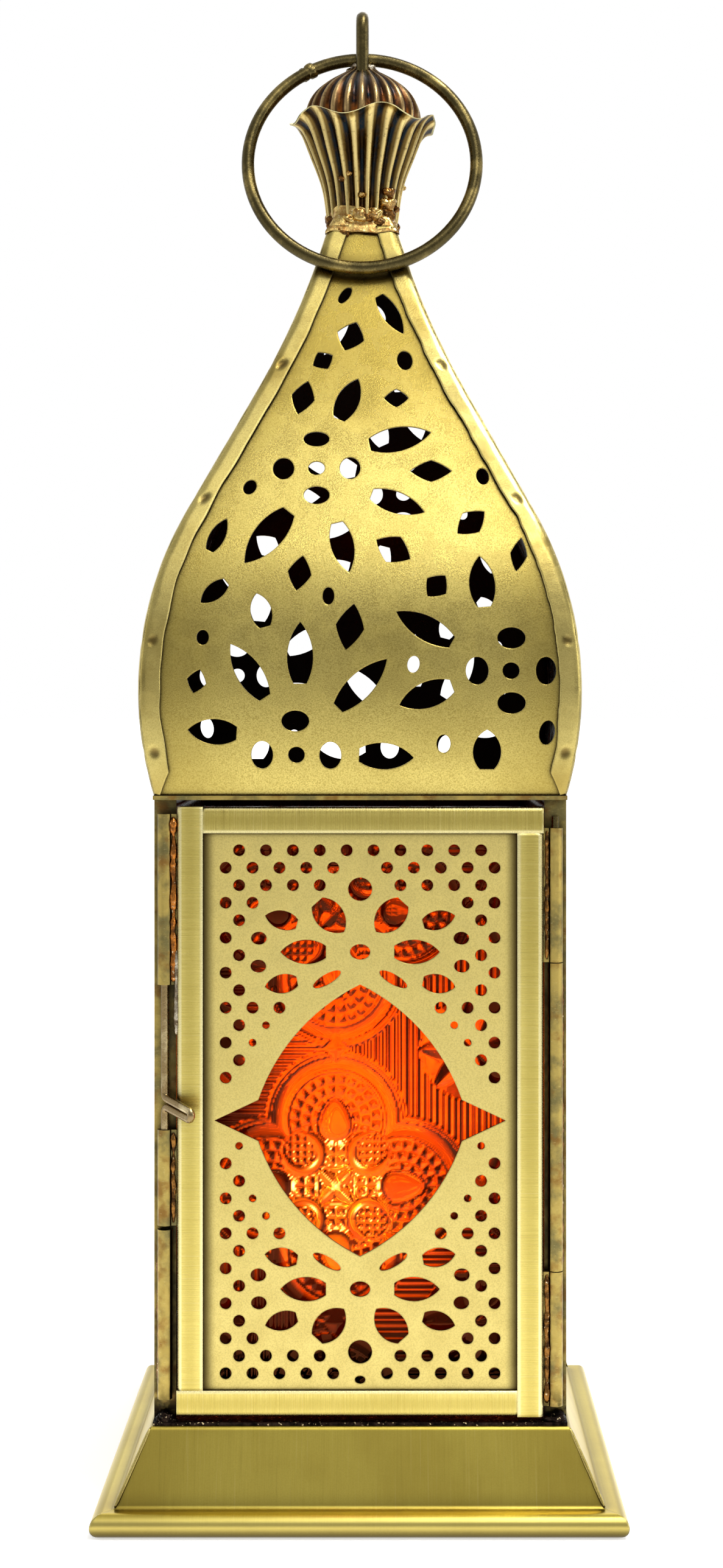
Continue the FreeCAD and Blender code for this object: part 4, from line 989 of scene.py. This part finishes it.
def neck_collar():
    """Smooth run of brazing from the square top of the dome to the round foot of the cup."""
    levels, reach = corner_line()
    rings = []
    for rise in np.linspace(0, 1, NECK_RINGS):
        ring = []
        for turn in np.linspace(0, 2 * math.pi, NECK_POINTS, endpoint=False):
            side = Vector((math.cos(turn), math.sin(turn), 0))
            low = NECK_FOOT + 0.5 * wobble(2.6 * side.x, 2.6 * side.y, 4)
            top = NECK_TOP + 1.6 * wobble(1.7 * side.x, 1.7 * side.y, 9)
            level = low + (top - low) * rise
            square = (float(np.interp(level, levels, reach)) + 0.15) / max(abs(side.x), abs(side.y))
            drawn = NECK_WAIST + 0.2 * (level - NECK_FOOT) + 0.2 * wobble(2 * side.x, 2 * side.y, 3 * rise)
            share = rise * rise * (3 - 2 * rise)
            ring.append((((1 - share) * square + share * drawn) * side + Vector((0, 0, level))) * MM)
        rings.append(ring)
    piece("neck_collar", *lofted(rings), "lantern", "braze_pale", "brass_patina")


def finial_brazing():
    """Drops where the cup meets the dome's neck, at the foot of the eye and on the join of the ring."""
    neck_collar()
    spots = []
    for turn, level, radius, size in NECK_DROPS:
        angle = math.radians(turn)
        radius -= 0.5 * size
        spot = (radius * math.sin(angle), -radius * math.cos(angle), level)
        spots.append((spot, (1.25 * size, 1.25 * size, 1.1 * size)))
    drops("neck_brazing_pale", spots[::2], "braze_pale")
    drops("neck_brazing_brown", spots[1::2], "braze_dark")
    cap_top = (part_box("finial_cap")[1] / MM).z
    foot = []
    for turn in EYE_DROP_TURNS:
        angle = math.radians(turn)
        spot = (EYE_DROP_RADIUS * math.cos(angle), EYE_DROP_RADIUS * math.sin(angle), cap_top - 0.5)
        foot.append((spot, EYE_DROP_HALF))
    drops("eye_foot_solder", foot, "solder")
    low, high = (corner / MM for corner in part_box("carry_ring"))
    middle = (low + high) / 2
    swing = [joint for joint in frame["joints"] if joint["name"] == "ring_swing"][0]
    hang = middle - Vector(swing["pos_m"]) / MM
    weld = math.radians(WELD_TURN)
    spot = middle - math.cos(weld) * hang + math.sin(weld) * hang.length * Vector((1, 0, 0))
    lumps = [(spot, (1.7, 1.45, 1.6)), (spot + Vector((-1.5, 0, -0.8)), (1.5, 1.4, 1.4))]
    drops("ring_weld", lumps, "antique", "carry_ring", "brass_antique", 0.12)


# Studio

def studio_world():
    """White for the eye and through glass; for metal, dimmer above and in front, with two dark flags."""
    world = bpy.data.worlds.new("studio")
    bpy.context.scene.world = world
    world.use_nodes = True
    tree = world.node_tree
    path = tree.nodes.new("ShaderNodeLightPath")
    seen = maths(tree, "MAXIMUM", path.outputs["Is Camera Ray"], path.outputs["Is Transmission Ray"])
    direction = add(tree, "TexCoord", output=0)
    back = part_of(tree, direction, 1)
    up = part_of(tree, direction, 2)
    light = remap(tree, back, -0.9, 0.5, 0.5, 1.0)
    light = maths(tree, "MULTIPLY", light, remap(tree, up, 0.05, 0.6, 1.0, 0.7))
    aside = maths(tree, "ABSOLUTE", part_of(tree, direction, 0))
    off_flag = maths(tree, "ABSOLUTE", maths(tree, "SUBTRACT", aside, FLAG_ASIDE))
    flag = remap(tree, off_flag, 0.12, 0.24, FLAG_DARK, 0.0)
    flag = maths(tree, "MULTIPLY", flag, remap(tree, back, -0.5, -0.2, 1.0, 0.0))
    flag = maths(tree, "MULTIPLY", flag, remap(tree, up, 0.0, 0.25, 1.0, 0.0))
    light = maths(tree, "MULTIPLY", light, maths(tree, "SUBTRACT", 1.0, flag))
    tree.links.new(maths(tree, "MAXIMUM", light, seen), tree.nodes["Background"].inputs["Strength"])
    tree.nodes["Background"].inputs["Color"].default_value = (1, 1, 1, 1)


def floor():
    """White paper that keeps the lantern's soft shadow."""
    made, tree, shader = material("pale_floor")
    path = tree.nodes.new("ShaderNodeLightPath")
    seen = maths(tree, "MAXIMUM", path.outputs["Is Camera Ray"], path.outputs["Is Transmission Ray"])
    away = add(tree, "VectorMath", {0: place(tree)}, output=1, operation="LENGTH")
    paper = maths(tree, "MULTIPLY", seen, remap(tree, away, FLOOR_NEAR, FLOOR_FAR, 0.5, 1.0))
    near = remap(tree, away, FLOOR_NEAR, SHINE_FAR, SHINE, 0.0)
    shine = maths(tree, "MULTIPLY", path.outputs["Is Glossy Ray"], near)
    plug(tree, shader, Base_Color=(0.9, 0.9, 0.9, 1), Roughness=0.9, Specular_IOR_Level=0.0,
         Emission_Color=(1, 1, 1, 1), Emission_Strength=maths(tree, "ADD", paper, shine))
    corners = [(FLOOR_HALF * x, FLOOR_HALF * y, 0) for x, y in ((-1, -1), (1, -1), (1, 1), (-1, 1))]
    mesh = bpy.data.meshes.new("floor")
    mesh.from_pydata(corners, [], [(0, 1, 2, 3)])
    mesh.materials.append(made)
    plane = bpy.data.objects.new("floor", mesh)
    bpy.context.scene.collection.objects.link(plane)


def softbox(name, where, size, energy):
    """Square soft light aimed at the middle of the lantern."""
    lamp = bpy.data.lights.new(name, "AREA")
    lamp.size = size
    lamp.energy = energy
    light = bpy.data.objects.new(name, lamp)
    light.location = where
    aim = (cad_low + cad_high) / 2 - Vector(where)
    light.rotation_euler = aim.to_track_quat("-Z", "Y").to_euler()
    bpy.context.scene.collection.objects.link(light)


def camera():
    """Level camera in front, with the frame shifted as the photograph is cropped."""
    data = bpy.data.cameras.new("camera")
    data.lens = CAMERA_LENS
    data.shift_x = (FRAME_WIDE / 2 - AXIS_PIXEL[0]) / FRAME_HIGH
    data.shift_y = (AXIS_PIXEL[1] - FRAME_HIGH / 2) / FRAME_HIGH
    made = bpy.data.objects.new("camera", data)
    made.location = CAMERA_PLACE
    made.rotation_euler = (math.radians(90), 0, 0)
    bpy.context.scene.collection.objects.link(made)
    bpy.context.scene.camera = made


dress_nodes()
glass_panes()
flame()
bindings()
door_brazing()
frame_brazing()
plinth_brazing()
finial_brazing()
studio_world()
floor()
for lamp in SOFTBOXES:
    softbox(*lamp)
camera()
bpy.context.scene.view_settings.view_transform = "Standard"
